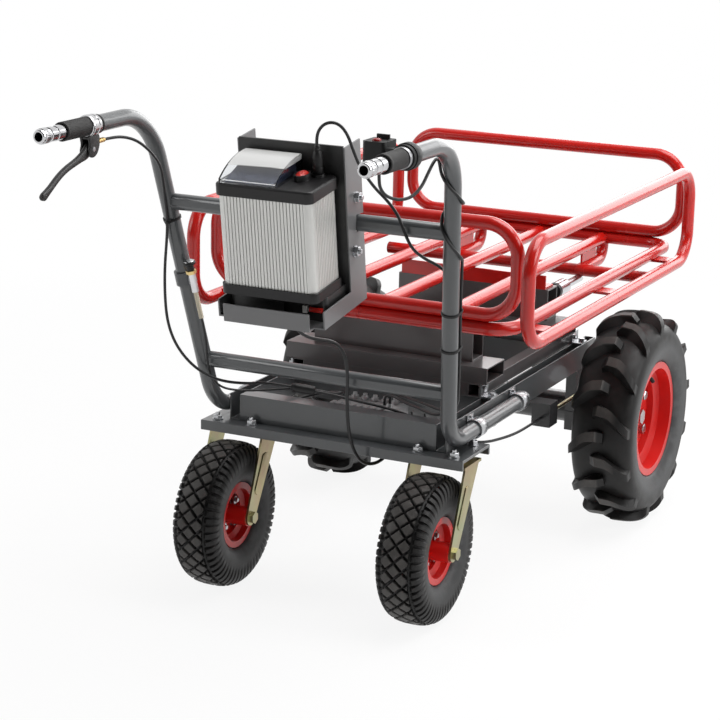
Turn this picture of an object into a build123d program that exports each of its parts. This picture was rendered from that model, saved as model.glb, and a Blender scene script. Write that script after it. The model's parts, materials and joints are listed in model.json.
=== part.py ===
from build123d import *
import os
from math import acos, atan2, cos, degrees, pi, radians, sin, sqrt, tan

os.makedirs("parts", exist_ok=True)

# Driving dimensions, in millimetres.
# The frame is +X forwards, +Y to the left and +Z up, on the floor under the middle of the barrow.

# Overall reach, measured from the drive axle
grip_reach = 1152.0
front_reach = 300.0
grip_height = 852.0
axle_x = (grip_reach - front_reach) / 2

# Fits
shaft_clearance = 0.05
running_clearance = 0.3
weld_gap = 0.1

# Drive wheels
drive_tyre_radius = 207.0
drive_tyre_width = 123.0
drive_track = 623.0
drive_rim_radius = 101.6
drive_rim_width = 98.0
drive_flange_height = 10.0
drive_tyre_wall = 9.0
rim_wall = 3.2
rim_well_depth = 15.0
lug_height = 19.0
lug_width = 18.0
lug_lead = 52.0
lugs_per_side = 13
wheel_disc_thickness = 5.0
wheel_dish = 6.0
wheel_bolt_circle = 96.0
wheel_bolt_count = 4
wheel_stud_radius = 5.0
wheel_stud_slack = 0.3
wheel_nut_radius = 10.0
wheel_nut_height = 10.0
wheel_nut_chamfer = 1.5
hub_spigot_radius = 20.0
hub_spigot_length = 6.0
hub_flange_radius = 60.0
hub_flange_thickness = 8.0
half_shaft_radius = 12.5
half_shaft_gap = 12.0

# Drum brakes
drum_radius = 76.0
drum_wall = 6.0
drum_web = 8.0
drum_depth = 38.0
drum_plate_gap = 1.5
backplate_thickness = 3.5
backplate_lip = 2.0
backplate_hole_gap = 0.5
shoe_gap = 6.0
shoe_clearance = 0.5
shoe_thickness = 9.5
shoe_split_half = 15.0
brake_arm_length = 50.0
brake_arm_thickness = 6.0
brake_arm_width = 18.0
brake_arm_gap = 1.0
brake_spindle_radius = 5.0
brake_spindle_reach = 8.0
brake_rod_radius = 4.0
brake_rod_inset = 76.5
brake_rod_gap = 12.0
brake_eye_half = 6.0
brake_pin_radius = 3.5
brake_pin_slack = 0.9
brake_spindle_back = 52.0
brake_spindle_rise = 5.0
cable_stop_back = 270.0
cable_stop_length = 40.0
cable_stop_half_width = 18.0
cable_stop_drop = 16.0
cable_stop_inset = 2.0
cable_stop_plate = 4.0
cable_stop_seat = 6.0

# Casters
caster_tyre_radius = 130.0
caster_tyre_width = 84.0
caster_rim_radius = 50.8
caster_rim_width = 54.0
caster_flange_height = 8.0
caster_tyre_wall = 8.0
caster_groove_count = 30
caster_groove_width = 5.0
caster_groove_depth = 4.0
caster_groove_skew = 24.0
caster_well_depth = 10.0
caster_boss_radius = 15.0
caster_hex_radius = 11.0
caster_hex_height = 8.0
caster_track = 390.0
caster_swivel_back = 635.0
caster_trail = 72.0
caster_axle_radius = 6.0
caster_hub_radius = 17.0
crown_gap = 6.0
crown_thickness = 5.0
fork_leg_gap = 7.0
fork_leg_thickness = 4.0
fork_root_back = 4.0
fork_root_height = 4.0
fork_press_depth = 1.2
race_height = 10.0
race_radius = 38.0
kingpin_radius = 8.0
kingpin_recess = 0.5
head_thickness = 4.0
head_length = 104.0
head_width = 92.0
head_bolt_spacing_x = 80.0
head_bolt_spacing_y = 68.0

# Base frame
plate_thickness = 5.0
plate_length = 118.0
plate_half_width = 253.0
plate_lip = 18.0
frame_half_width = 210.0
rail_width = 22.0
rail_height = 48.0
rail_wall = 2.5
rail_rear_back = 665.0
rail_front_ahead = 60.0
beam_depth = 36.0
beam_wall = 3.0
cross_member_length = 40.0
front_cross_back = 30.0
rear_cross_back = 440.0

# Bolts and small angles
m8_radius = 4.0
m8_hole_clearance = 0.2
m8_head_radius = 7.5
m8_head_height = 5.5
m8_tail = 7.0
m6_head_radius = 6.5
m6_head_height = 5.0
saddle_bolt_radius = 3.6
saddle_bolt_height = 3.0
saddle_bolt_inset = 4.9
clamp_half = 16.0
clamp_wall = 3.0
clamp_side_margin = 1.0
clamp_top_margin = 2.0
clamp_bolt_offset = 7.5
clamp_bolt_rise = 14.0
clamp_bolt_inset = 9.0

# Bed supports
subframe_rail_width = 24.0
subframe_rail_height = 25.0
subframe_wall = 2.5
subframe_gap = 1.0
subframe_rear_back = 471.0
subframe_front_ahead = 12.0
riser_wall = 3.0
lower_riser_length = 80.0
lower_riser_height = 30.0
lower_riser_half_width = 200.0
upper_riser_length = 50.0
upper_riser_height = 60.0
upper_riser_half_width = 158.0
front_riser_back = 26.0
angle_length = 42.0
angle_height = 27.0
angle_wall = 4.0
angle_inset = 6.0

# Bed of bent tube
bed_tube_radius = 12.0
bed_tube_wall = 2.0
bed_rear_back = 572.0
floor_half_width = 278.0
floor_corner = 45.0
slat_spacing = 136.0
guard_height = 159.0
guard_corner = 58.0
rear_guard_half_width = 290.0
front_guard_half_width = 299.0
side_guard_offset = 322.0
side_guard_drop = 18.0
side_guard_height = 178.0
side_guard_rear_back = 602.0
side_guard_front_ahead = 266.0
butt_gap = 0.4
undertube_ahead = 150.0
undertube_half_width = 286.0
gusset_thickness = 4.0
gusset_rear_gap = 14.0
gusset_front_gap = 46.0
tab_width = 40.0
tab_thickness = 5.0
tab_places = (490.0, 150.0, -180.0)
undertube_drop = 43.0
stop_radius = 15.5
stop_length = 45.0
stop_ahead = 14.0
stop_drop = 4.0
stop_offset = 3.0
stop_end_length = 12.0
stop_end_lip = 0.5

# Handles
handle_radius = 14.0
handle_wall = 2.0
handle_front_back = 353.0
handle_foot_back = 692.0
handle_top_back = 830.0
handle_half_width = 277.0
handle_foot_bend = 75.0
handle_top_bend = 105.0
bar_radius = 11.0
bar_step_back = 983.0
bar_end_back = 1120.0
crossbar_height = 28.0
crossbar_depth = 20.0
lower_crossbar_z = 411.0
upper_crossbar_z = 698.0
saddle_width = 26.0
saddle_thickness = 3.0
saddle_margin = 1.0
saddle_places = (377.0, 571.0)
clamp_places = (0.0, 455.0)

# Grips and controls
grip_radius = 15.5
grip_end_radius = 12.5
bar_bore_radius = 7.0
bar_bore_depth = 28.0
left_grip_back = 1022.0
left_end_back = 1090.0
perch_length = 26.0
perch_radius = 18.0
collar_length = 10.0
clevis_drop = 12.0
clevis_lap = 4.0
clevis_front_wall = 2.0
clevis_slot_half = 13.0
adjuster_rise = 9.0
adjuster_nut_radius = 5.5
adjuster_nut_length = 10.0
adjuster_radius = 4.0
adjuster_length = 27.0
lever_pivot_drop = 37.0
lever_pivot_ahead = 10.0
lever_eye_radius = 8.0
lever_pivot_radius = 3.0
lever_thickness = 9.0
lever_depth = 10.0
perch_cheek = 5.0
right_grip_back = 1028.0
right_end_back = 1089.0
throttle_length = 42.0
throttle_radius = 21.0
pod_back = 983.7
pod_length = 46.0
pod_width = 38.0
pod_height = 44.0
pod_inset = 55.0
pod_corner = 6.0
pod_arm_length = 18.0
pod_arm_start = 12.0
pod_arm_half = 9.0
button_radius = 7.0
button_travel = 3.0
button_rise = 4.0
button_seat = 5.0
button_socket = 9.0
button_fillet = 1.5
toggle_length = 21.0
toggle_slot = 14.0
toggle_depth = 5.0
toggle_proud = 7.0
toggle_paddle = 4.0
toggle_barrel_radius = 4.5

# Shift pull
shift_height = 562.0
shift_offset = 30.0
shift_stem_radius = 3.0
shift_body_radius = 6.0
shift_knob_radius = 11.0
shift_clamp_half = 12.0
shift_clamp_wall = 4.0
shift_arm_middle = 21.0
shift_arm_size = (12.0, 10.0, 14.0)
shift_body_low = -20.0
shift_body_high = 14.0
shift_ferrule_low = -70.0
shift_ferrule_wall = 2.0
shift_nut_lip = 3.0
shift_nut_height = 6.0
shift_stem_low = -40.0
shift_stem_slack = 2.0
shift_knob_low = 20.5
shift_knob_high = 38.0
shift_knob_lap = 3.5
shift_knob_fillet = 4.0

# Battery and its holder
battery_length = 100.0
battery_width = 174.0
battery_height = 186.0
battery_rear_back = 947.0
battery_base_z = 590.0
battery_lean = 8.5
cap_height_top = 20.0
cap_height_bottom = 16.0
cap_overhang = 3.0
cap_corner = 12.0
cap_fillet = 4.0
case_wall = 3.0
case_corner = 10.0
case_bore_corner = 7.0
cell_corner = 6.0
cell_slack = 1.0
rib_depth = 1.5
rib_pitch = 7.0
rib_margin = 12.0
holder_wall = 3.0
holder_flange_gap = 4.0
holder_half_width = 97.0
holder_front_back = 786.0
holder_top_z = 820.0
tray_z = 546.0
tray_lip_back = 958.0
tray_lip_height = 30.0
tray_lip_half_width = 78.0
tray_wall_back = 941.0
holder_bolt_rise = 44.0
holder_bolt_drop = 45.0
holder_bolt_back = 3.0
back_plate_thickness = 4.0
back_plate_rise = 2.0
cradle_rear_back = 915.0
cradle_half_width = 88.0
cradle_corner = 8.0
contact_radius = 4.0
contact_start = 6.0
contact_end = 28.0
side_contact_start = 32.0
side_contact_end = 40.0
side_contact_half = 6.0
side_contact_proud = 7.0
latch_right = 14.0
latch_left = 8.0
latch_half = 8.0
plug_radius = 8.5
plug_height = 47.0
plug_tail = 10.0
socket_rise = 4.0
socket_wall = 2.0
cover_width = 103.0
cover_side_y = 79.0
cover_rear_height = 6.0
cover_front_height = 30.0
cover_wall = 2.0
cover_rear_inset = 5.0
cover_front_inset = 3.0
panel_inset = 8.0
panel_rear_inset = 6.0
panel_rear_height = 2.0
panel_front_inset = 8.0
panel_top_length = 6.0
rocker_length = 30.0
rocker_width = 19.0
rocker_seat = 4.2
rocker_fillet = 3.0
bezel_rise = 10.0
bezel_wall = 3.0
bezel_floor = 2.0
bezel_gap_along = 0.8
bezel_gap_across = 0.5

# Drive unit
axle_tube_radius = 30.0
axle_collar_length = 6.0
axle_collar_lip = 8.0
gear_case_radius = 64.0
gear_case_width = 56.0
motor_radius = 62.0
motor_length = 140.0
motor_back = 108.0
motor_rise = 15.0
motor_fin_count = 5
motor_fin_depth = 4.0
motor_fin_share = 0.85
axle_mount_length = 70.0
axle_split_gap = 0.5
axle_strap_thickness = 8.0
controller_length = 130.0
controller_width = 120.0
controller_height = 32.0
controller_gap = 4.0
controller_fin_count = 9
controller_fin_height = 8.0
controller_fin_half = 3.0
terminal_bay = 66.0
terminal_count = 5
terminal_inset = 12.0
terminal_radius = 4.0
terminal_rise = 4.0
terminal_nut_radius = 7.0
terminal_nut_height = 5.0
terminal_nut_sink = 6.0
gland_radius = 5.0
gland_rise = 6.0

# Cables
brake_cable_radius = 2.5
control_cable_radius = 2.6
cord_radius = 3.0
main_cable_radius = 3.0
shift_cable_radius = 2.0
shift_entry_angle = 32.0
shift_entry_y = 14.0
splitter_radius = 8.0
splitter_outlet = 4.0
coil_step = 45.0
coil_gap = 0.4
coil_ahead = 88.0
coil_count = 14
coil_long_step = 18.0
coil_short_step = 7.0
tie_width = 4.0
tie_thickness = 1.2
tie_slack = 0.6

# Places worked out from the sizes above
axle_z = drive_tyre_radius
caster_z = caster_tyre_radius
crown_bottom = 2 * caster_tyre_radius + crown_gap
crown_top = crown_bottom + crown_thickness
head_bottom = crown_top + race_height
head_top = head_bottom + head_thickness
plate_top = head_top + plate_thickness
rail_top = plate_top + rail_height
subframe_top = rail_top + subframe_rail_height
lower_riser_top = subframe_top + lower_riser_height
upper_riser_top = lower_riser_top + upper_riser_height
floor_z = upper_riser_top + angle_height + bed_tube_radius
rail_inner = frame_half_width - rail_width
handle_leg_y = frame_half_width + handle_radius + weld_gap
handle_leg_z = plate_top + rail_height / 2
sides = (1, -1)
upright_run = (handle_top_back - handle_foot_back, handle_half_width - handle_leg_y,
               grip_height - handle_leg_z)
turn_of_handle = acos(upright_run[0] / sqrt(sum(step ** 2 for step in upright_run)))


def back(distance):
    """X of a place this far behind the drive axle"""
    return axle_x - distance


def save(piece, name):
    piece.label = name
    export_step(piece, "parts/" + name + ".step")


def save_pair(piece, name):
    """Save a piece of the left side and its mirror image on the right"""
    save(piece, name + "_left")
    save(mirror(piece, about=Plane.XZ), name + "_right")


def save_group(pieces, name):
    save(Compound(children=pieces), name)


def block(low, high, mode=Mode.ADD):
    """Box between two corners, in the part that is open"""
    middle = tuple((a + b) / 2 for a, b in zip(low, high))
    with Locations(middle):
        Box(*(abs(b - a) for a, b in zip(low, high)), mode=mode)


def rod(start, end, radius, mode=Mode.ADD):
    """Cylinder between two points, in the part that is open"""
    along = Vector(*end) - Vector(*start)
    with Locations(Plane(origin=start, z_dir=along).location):
        Cylinder(radius, along.length, align=(Align.CENTER, Align.CENTER, Align.MIN), mode=mode)


def box_tube(low, high, along, wall):
    """Rectangular tube with open ends between two corners, in the part that is open"""
    block(low, high)
    inner_low = []
    inner_high = []
    for number, (a, b) in enumerate(zip(low, high)):
        trim = 0 if number == along else wall
        inner_low.append(min(a, b) + trim)
        inner_high.append(max(a, b) - trim)
    block(inner_low, inner_high, mode=Mode.SUBTRACT)


def side_plane(y):
    """Upright plane across the barrow at this Y: x is forwards, y is up, and it faces right"""
    return Plane.XZ.offset(-y)


def hex_bolt(seat, out, head, height, shank=0.0, reach=0.0, nut_drop=0.0):
    """Hex head standing on a seat, with a shank behind it and a nut that far down the shank"""
    seat = Vector(*seat)
    out = Vector(*out)
    with BuildPart() as bolt:
        with BuildSketch(Plane(origin=seat, z_dir=out)):
            RegularPolygon(head, 6)
        extrude(amount=height)
        if reach:
            rod(seat, seat - out * reach, shank)
        if nut_drop:
            with BuildSketch(Plane(origin=seat - out * nut_drop, z_dir=-out)):
                RegularPolygon(head, 6)
            extrude(amount=height)
    return bolt.part


def wheel_plane(centre):
    """Half-section plane of a left wheel: x is outwards along the axle, y is the radius"""
    return Plane(origin=centre, x_dir=(0, 1, 0), z_dir=(1, 0, 0))


def bent_tube(points, bend, radius, wall):
    """Round tube along straight runs with bent corners"""
    with BuildPart() as tube:
        with BuildLine() as path:
            FilletPolyline(*points, radius=bend)
        route = path.wires()[0]
        with BuildSketch(Plane(origin=route @ 0, z_dir=route % 0)):
            Circle(radius)
            Circle(radius - wall, mode=Mode.SUBTRACT)
        sweep(path=route)
    return tube.part


def guard_loop(corner, across, up, bend):
    """Rounded rectangle of bed tube, closed by a butt joint in the middle of its bottom run"""
    start = Vector(*corner)
    across = Vector(*across)
    up = Vector(*up)
    half_gap = across.normalized() * (butt_gap / 2)
    middle = start + across * 0.5
    points = [middle + half_gap, start + across, start + across + up, start + up, start, middle - half_gap]
    return bent_tube(points, bend, bed_tube_radius, bed_tube_wall)


def cable_route(points):
    """Path along hand-chosen points, each corner as wide as its two runs allow"""
    spots = [Vector(*point) for point in points]
    runs = [(after - before).length for before, after in zip(spots, spots[1:])]
    turns = []
    bends = []
    for number in range(1, len(spots) - 1):
        turn = (spots[number] - spots[number - 1]).get_angle(spots[number + 1] - spots[number])
        turns.append(turn)
        bends.append(0.45 * min(runs[number - 1:number + 1]) / tan(radians(turn) / 2))
    with BuildLine() as path:
        FilletPolyline(*spots, radius=bends)
    uneven = max(max(a, b) / min(a, b) for a, b in zip(runs, runs[1:]))
    print("runs", round(min(runs)), "to", round(max(runs)), "mm, neighbours up to", round(uneven, 2),
          "times, turns up to", round(max(turns)), "degrees, radii from", round(min(bends), 1))
    return path.wires()[0]


def cable(points, radius):
    """Round cable along a route, its volume set against its section times its length"""
    route = cable_route(points)
    with BuildPart() as cord:
        with BuildSketch(Plane(origin=route @ 0, z_dir=route % 0)):
            Circle(radius)
        sweep(path=route)
    print("cable of radius", radius, "and length", round(route.length),
          "has volume ratio", round(cord.part.volume / (pi * radius ** 2 * route.length), 4))
    return cord.part


# Wheels: tyres

def tyre_section(width, bead, flange, rim_width, crown, wall):
    """Outline of a hollow tyre with its beads inside the rim flanges, as (outwards, radius) points"""
    bead_out = rim_width / 2 - rim_wall - shaft_clearance
    bead_in = bead_out - wall
    foot = bead + shaft_clearance
    lift = flange + 1.0
    half = width / 2
    middle = (flange + crown) / 2
    shoulder = (0.84 * half, crown - 0.7 * wall)
    inner_shoulder = (shoulder[0] - 0.8 * wall, shoulder[1] - wall)
    with BuildLine() as outline:
        Line((bead_out, foot), (bead_out, lift))
        ThreePointArc((bead_out, lift), (half, middle), shoulder)
        ThreePointArc(shoulder, (0, crown), (-shoulder[0], shoulder[1]))
        ThreePointArc((-shoulder[0], shoulder[1]), (-half, middle), (-bead_out, lift))
        Line((-bead_out, lift), (-bead_out, foot))
        Line((-bead_out, foot), (-bead_in, foot))
        Line((-bead_in, foot), (-bead_in, lift))
        ThreePointArc((-bead_in, lift), (wall - half, middle), (-inner_shoulder[0], inner_shoulder[1]))
        ThreePointArc((-inner_shoulder[0], inner_shoulder[1]), (0, crown - wall), inner_shoulder)
        ThreePointArc(inner_shoulder, (half - wall, middle), (bead_in, lift))
        Line((bead_in, lift), (bead_in, foot))
        Line((bead_in, foot), (bead_out, foot))
    return outline.line


def make_drive_tyre():
    centre = (axle_x, drive_track / 2, axle_z)
    turn_axis = Axis(centre, (0, 1, 0))
    crown = drive_tyre_radius - lug_height
    half = drive_tyre_width / 2
    root = crown - drive_tyre_wall / 2
    shoulder = drive_tyre_radius - 0.45 * lug_height
    skirt = crown - 1.4 * drive_tyre_wall
    pitch = 360 / lugs_per_side
    with BuildPart() as tyre:
        for number in range(lugs_per_side):
            for half_side in (1, -1):
                angle = radians((number + 0.25 * half_side) * pitch)
                outwards = Vector(sin(angle), 0, cos(angle))
                along = Vector(cos(angle), 0, -sin(angle))
                lug = Plane(origin=Vector(*centre) + outwards * skirt, x_dir=along, z_dir=outwards)
                tip = lug_lead / 2
                inner = -0.06 * drive_tyre_width * half_side
                outer = half * half_side
                with BuildSketch(lug):
                    with BuildLine():
                        Polyline((tip, inner), (tip - lug_width, inner), (-tip - 1.15 * lug_width, outer),
                                 (-tip, outer), close=True)
                    make_face()
                extrude(amount=drive_tyre_radius)
        with BuildSketch(wheel_plane(centre)):
            with BuildLine():
                Line((-half, skirt), (half, skirt))
                Line((half, skirt), (half, shoulder))
                ThreePointArc((half, shoulder), (0, drive_tyre_radius), (-half, shoulder))
                Line((-half, shoulder), (-half, skirt))
            make_face()
        revolve(axis=turn_axis, mode=Mode.INTERSECT)
        with BuildSketch(wheel_plane(centre)):
            with BuildLine():
                add(tyre_section(drive_tyre_width, drive_rim_radius, drive_rim_radius + drive_flange_height,
                                 drive_rim_width, crown, drive_tyre_wall))
            make_face()
        revolve(axis=turn_axis)
    return tyre.part


def make_caster_tyre():
    centre = (back(caster_swivel_back + caster_trail), caster_track / 2, caster_z)
    with BuildPart() as tyre:
        with BuildSketch(wheel_plane(centre)):
            with BuildLine():
                flange = caster_rim_radius + caster_flange_height
                add(tyre_section(caster_tyre_width, caster_rim_radius, flange, caster_rim_width,
                                 caster_tyre_radius, caster_tyre_wall))
            make_face()
        revolve(axis=Axis(centre, (0, 1, 0)))
        with Locations(Plane(origin=centre, z_dir=(0, 1, 0)).location):
            with PolarLocations(caster_tyre_radius, caster_groove_count):
                Box(2 * caster_groove_depth, caster_groove_width, 0.5 * caster_tyre_width, mode=Mode.SUBTRACT,
                    rotation=(caster_groove_skew, 0, 0))
    return tyre.part


# Wheels: rims and hubs

def rim_barrel(bead, flange_height, rim_width, well_depth):
    """Outline of a drop-centre rim, as (outwards, radius) points"""
    half = rim_width / 2
    flange = bead + flange_height
    well = bead - well_depth
    seat = 0.5 * half
    foot = 0.36 * half
    outer = [(half, flange), (half - rim_wall, flange), (half - rim_wall, bead), (seat, bead), (foot, well)]
    inner = [(foot, well - rim_wall), (seat + 0.3 * rim_wall, bead - rim_wall), (half, bead - rim_wall)]
    mirrored_outer = [(-u, r) for u, r in reversed(outer)]
    mirrored_inner = [(-u, r) for u, r in reversed(inner)]
    return outer + mirrored_outer + mirrored_inner + inner


def make_drive_rim():
    centre = (axle_x, drive_track / 2, axle_z)
    disc_in = hub_flange_thickness / 2
    disc_out = disc_in + wheel_disc_thickness
    well = drive_rim_radius - rim_well_depth
    disc_edge = well - rim_wall / 2
    with BuildPart() as rim:
        with BuildSketch(wheel_plane(centre)):
            with BuildLine():
                Polyline(*rim_barrel(drive_rim_radius, drive_flange_height, drive_rim_width, rim_well_depth),
                         close=True)
            make_face()
            with BuildLine():
                Polyline((disc_in, hub_spigot_radius), (disc_in, 0.72 * well),
                         (disc_in - wheel_dish, disc_edge), (disc_out - wheel_dish, disc_edge),
                         (disc_out, 0.72 * well + wheel_disc_thickness),
                         (disc_out, hub_spigot_radius), close=True)
            make_face()
        revolve(axis=Axis(centre, (0, 1, 0)))
        face = Plane(origin=(axle_x, centre[1] + disc_out, axle_z), z_dir=(0, 1, 0))
        with Locations(face.location):
            with PolarLocations(wheel_bolt_circle / 2, wheel_bolt_count, start_angle=45):
                Hole(wheel_stud_radius, depth=2 * wheel_disc_thickness)
    return rim.part


def make_drive_hub():
    """Half shaft, hub flange and brake drum in one turning piece, with its wheel nuts"""
    centre = (axle_x, drive_track / 2, axle_z)
    flange_in = -hub_flange_thickness / 2
    flange_out = hub_flange_thickness / 2
    disc_out = flange_out + wheel_disc_thickness
    shaft_end = gear_case_width / 2 + half_shaft_gap - drive_track / 2
    spigot = hub_spigot_radius - 2 * shaft_clearance
    spigot_end = disc_out + hub_spigot_length
    web = flange_in - drum_web
    drum_end = flange_in - drum_depth
    drum_bore = drum_radius - drum_wall
    with BuildPart() as hub:
        with BuildSketch(wheel_plane(centre)):
            with BuildLine():
                Polyline((shaft_end, 0), (shaft_end, half_shaft_radius), (web, half_shaft_radius),
                         (web, drum_bore), (drum_end, drum_bore), (drum_end, drum_radius),
                         (flange_in, drum_radius), (flange_in, hub_flange_radius),
                         (flange_out, hub_flange_radius), (flange_out, spigot), (spigot_end, spigot),
                         (spigot_end, 0), close=True)
            make_face()
        revolve(axis=Axis(centre, (0, 1, 0)))
        face = Plane(origin=(axle_x, centre[1] + flange_out, axle_z), z_dir=(0, 1, 0))
        with Locations(face.location):
            with PolarLocations(wheel_bolt_circle / 2, wheel_bolt_count, start_angle=45):
                Cylinder(wheel_stud_radius - wheel_stud_slack, wheel_disc_thickness,
                         align=(Align.CENTER, Align.CENTER, Align.MIN))
    with BuildPart() as nuts:
        outer_face = Plane(origin=(axle_x, centre[1] + disc_out, axle_z), z_dir=(0, 1, 0))
        with BuildSketch(outer_face):
            with PolarLocations(wheel_bolt_circle / 2, wheel_bolt_count, start_angle=45):
                RegularPolygon(wheel_nut_radius, 6)
        extrude(amount=wheel_nut_height)
        chamfer(nuts.faces().sort_by(Axis.Y)[-wheel_bolt_count:].edges(), wheel_nut_chamfer)
        with BuildSketch(outer_face.offset(hub_spigot_length)):
            RegularPolygon(1.5 * wheel_nut_radius, 6)
        extrude(amount=wheel_nut_height)
    return Compound(children=[hub.part, *nuts.part.solids()])


def make_caster_rim():
    centre = (back(caster_swivel_back + caster_trail), caster_track / 2, caster_z)
    hub_half = caster_tyre_width / 2 + fork_leg_gap - running_clearance
    bore = caster_axle_radius + shaft_clearance
    web = wheel_disc_thickness / 2
    web_top = caster_rim_radius - caster_well_depth - rim_wall / 2
    with BuildPart() as rim:
        with BuildSketch(wheel_plane(centre)):
            with BuildLine():
                Polyline(*rim_barrel(caster_rim_radius, caster_flange_height, caster_rim_width,
                                     caster_well_depth), close=True)
            make_face()
            with BuildLine():
                Polyline((-hub_half, bore), (-hub_half, caster_hub_radius), (-web, caster_hub_radius),
                         (-web, web_top), (web, web_top), (web, caster_hub_radius),
                         (hub_half, caster_hub_radius), (hub_half, bore), close=True)
            make_face()
        revolve(axis=Axis(centre, (0, 1, 0)))
    return rim.part


def make_caster_fork():
    """Crown, kingpin and two pressed legs, with the wheel's axle bolt"""
    swivel_x = back(caster_swivel_back)
    wheel_x = back(caster_swivel_back + caster_trail)
    y = caster_track / 2
    leg_in = caster_tyre_width / 2 + fork_leg_gap
    leg_out = leg_in + fork_leg_thickness
    crown_half = 2 * kingpin_radius + crown_bottom / 14
    lean = degrees(atan2(crown_top - caster_z, caster_trail))
    middle = ((swivel_x + wheel_x) / 2, (crown_top + caster_z) / 2)
    with BuildPart() as fork:
        block((swivel_x - crown_half, y - leg_out, crown_bottom),
              (swivel_x + crown_half, y + leg_out, crown_top))
        rod((swivel_x, y, crown_top), (swivel_x, y, head_top - kingpin_recess), kingpin_radius)
        for face in (y + leg_out, y - leg_in):
            with BuildSketch(side_plane(face)):
                with Locations((swivel_x - fork_root_back, crown_top - fork_root_height / 2)):
                    Rectangle(1.6 * crown_half, fork_root_height)
                with Locations((wheel_x, caster_z)):
                    Circle(caster_boss_radius)
                make_hull()
                with Locations((wheel_x, caster_z)):
                    Circle(caster_axle_radius + shaft_clearance, mode=Mode.SUBTRACT)
            extrude(amount=fork_leg_thickness)
        for face, depth in ((y + leg_out, fork_press_depth), (y - leg_out, -fork_press_depth)):
            with BuildSketch(side_plane(face)):
                with Locations(middle):
                    SlotOverall(0.55 * caster_tyre_radius, 0.8 * caster_boss_radius, rotation=lean)
            extrude(amount=depth, mode=Mode.SUBTRACT)
    with BuildPart() as bolt:
        rod((wheel_x, y - leg_out, caster_z), (wheel_x, y + leg_out, caster_z), caster_axle_radius)
        for face, way in ((y + leg_out, 1), (y - leg_out, -1)):
            with BuildSketch(Plane(origin=(wheel_x, face, caster_z), z_dir=(0, way, 0))):
                RegularPolygon(caster_hex_radius, 6)
            extrude(amount=caster_hex_height)
    return Compound(children=[fork.part, bolt.part])


save_pair(make_drive_tyre(), "drive_tyre")
save_pair(make_drive_rim(), "drive_rim")
save_pair(make_drive_hub(), "drive_hub")
save_pair(make_caster_tyre(), "caster_tyre")
save_pair(make_caster_rim(), "caster_rim")
save_pair(make_caster_fork(), "caster_fork")

heads = []
for side in sides:
    x = back(caster_swivel_back)
    y = side * caster_track / 2
    with BuildPart() as head:
        rod((x, y, crown_top + running_clearance), (x, y, crown_top + race_height / 2), race_radius)
        rod((x, y, crown_top + race_height / 2), (x, y, head_bottom), 0.86 * race_radius)
        block((x - head_length / 2, y - head_width / 2, head_bottom),
              (x + head_length / 2, y + head_width / 2, head_top))
        rod((x, y, crown_top), (x, y, head_top), kingpin_radius + shaft_clearance, mode=Mode.SUBTRACT)
        with Locations((x, y, head_top)):
            with GridLocations(head_bolt_spacing_x, head_bolt_spacing_y, 2, 2):
                Hole(m8_radius + m8_hole_clearance, depth=2 * head_thickness)
    heads.append(head.part)
save_group(heads, "caster_heads")

# Base frame
plate_rear = back(caster_swivel_back) - plate_length / 2
plate_front = back(caster_swivel_back) + plate_length / 2
with BuildPart() as caster_plate:
    block((plate_rear, -plate_half_width, head_top), (plate_front, plate_half_width, plate_top))
    for x in (plate_rear, plate_front - plate_thickness):
        block((x, -plate_half_width, plate_top - plate_lip),
              (x + plate_thickness, plate_half_width, head_top))
    for side in sides:
        with Locations((back(caster_swivel_back), side * caster_track / 2, plate_top)):
            with GridLocations(head_bolt_spacing_x, head_bolt_spacing_y, 2, 2):
                Hole(m8_radius + m8_hole_clearance, depth=1.5 * plate_thickness)
save(caster_plate.part, "caster_plate")

rail_rear = back(rail_rear_back)
rail_front = back(-rail_front_ahead)
with BuildPart() as base_frame:
    for side in sides:
        inner = side * rail_inner
        outer = side * frame_half_width
        block((rail_rear, inner, plate_top), (rail_front, outer, plate_top + rail_wall))
        block((rail_rear, inner, plate_top), (rail_front, inner + side * rail_wall, rail_top))
        block((rail_rear, outer, plate_top), (rail_front, outer - side * rail_wall, rail_top))
        block((rail_front - rail_wall, inner, plate_top), (rail_front, outer, rail_top))
    block((rail_rear, -rail_inner, plate_top), (rail_rear + beam_wall, rail_inner, rail_top))
    block((rail_rear, -rail_inner, plate_top), (rail_rear + beam_depth, rail_inner, plate_top + beam_wall))
    block((rail_rear, -rail_inner, rail_top - beam_wall), (rail_rear + beam_depth, rail_inner, rail_top))
    for distance in (front_cross_back, rear_cross_back):
        rear = back(distance + cross_member_length / 2)
        front = back(distance - cross_member_length / 2)
        block((rear, -rail_inner, rail_top - beam_wall), (front, rail_inner, rail_top))
        block((rear, -rail_inner, plate_top), (rear + beam_wall, rail_inner, rail_top))
        block((front, -rail_inner, plate_top), (front - beam_wall, rail_inner, rail_top))
save(base_frame.part, "base_frame")

# Bed supports
subframe_outer = rail_inner - subframe_gap
subframe_inner = subframe_outer - subframe_rail_width
subframe_rear = back(subframe_rear_back)
subframe_front = back(-subframe_front_ahead)
with BuildPart() as bed_subframe:
    for side in sides:
        box_tube((subframe_rear, side * subframe_inner, rail_top),
                 (subframe_front, side * subframe_outer, subframe_top), 0, subframe_wall)
    for x in (subframe_rear, subframe_front - subframe_rail_width):
        box_tube((x, -subframe_inner, rail_top), (x + subframe_rail_width, subframe_inner, subframe_top),
                 1, subframe_wall)
save(bed_subframe.part, "bed_subframe")


def riser(front, length, half_width, low, high):
    with BuildPart() as tube:
        box_tube((front - length, -half_width, low), (front, half_width, high), 1, riser_wall)
    return tube.part


riser_fronts = (back(subframe_rear_back - lower_riser_length), back(front_riser_back))
risers = []
for front in riser_fronts:
    risers.append(riser(front, lower_riser_length, lower_riser_half_width, subframe_top, lower_riser_top))
    risers.append(riser(front, upper_riser_length, upper_riser_half_width, lower_riser_top, upper_riser_top))
save_group(risers, "bed_risers")

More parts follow.
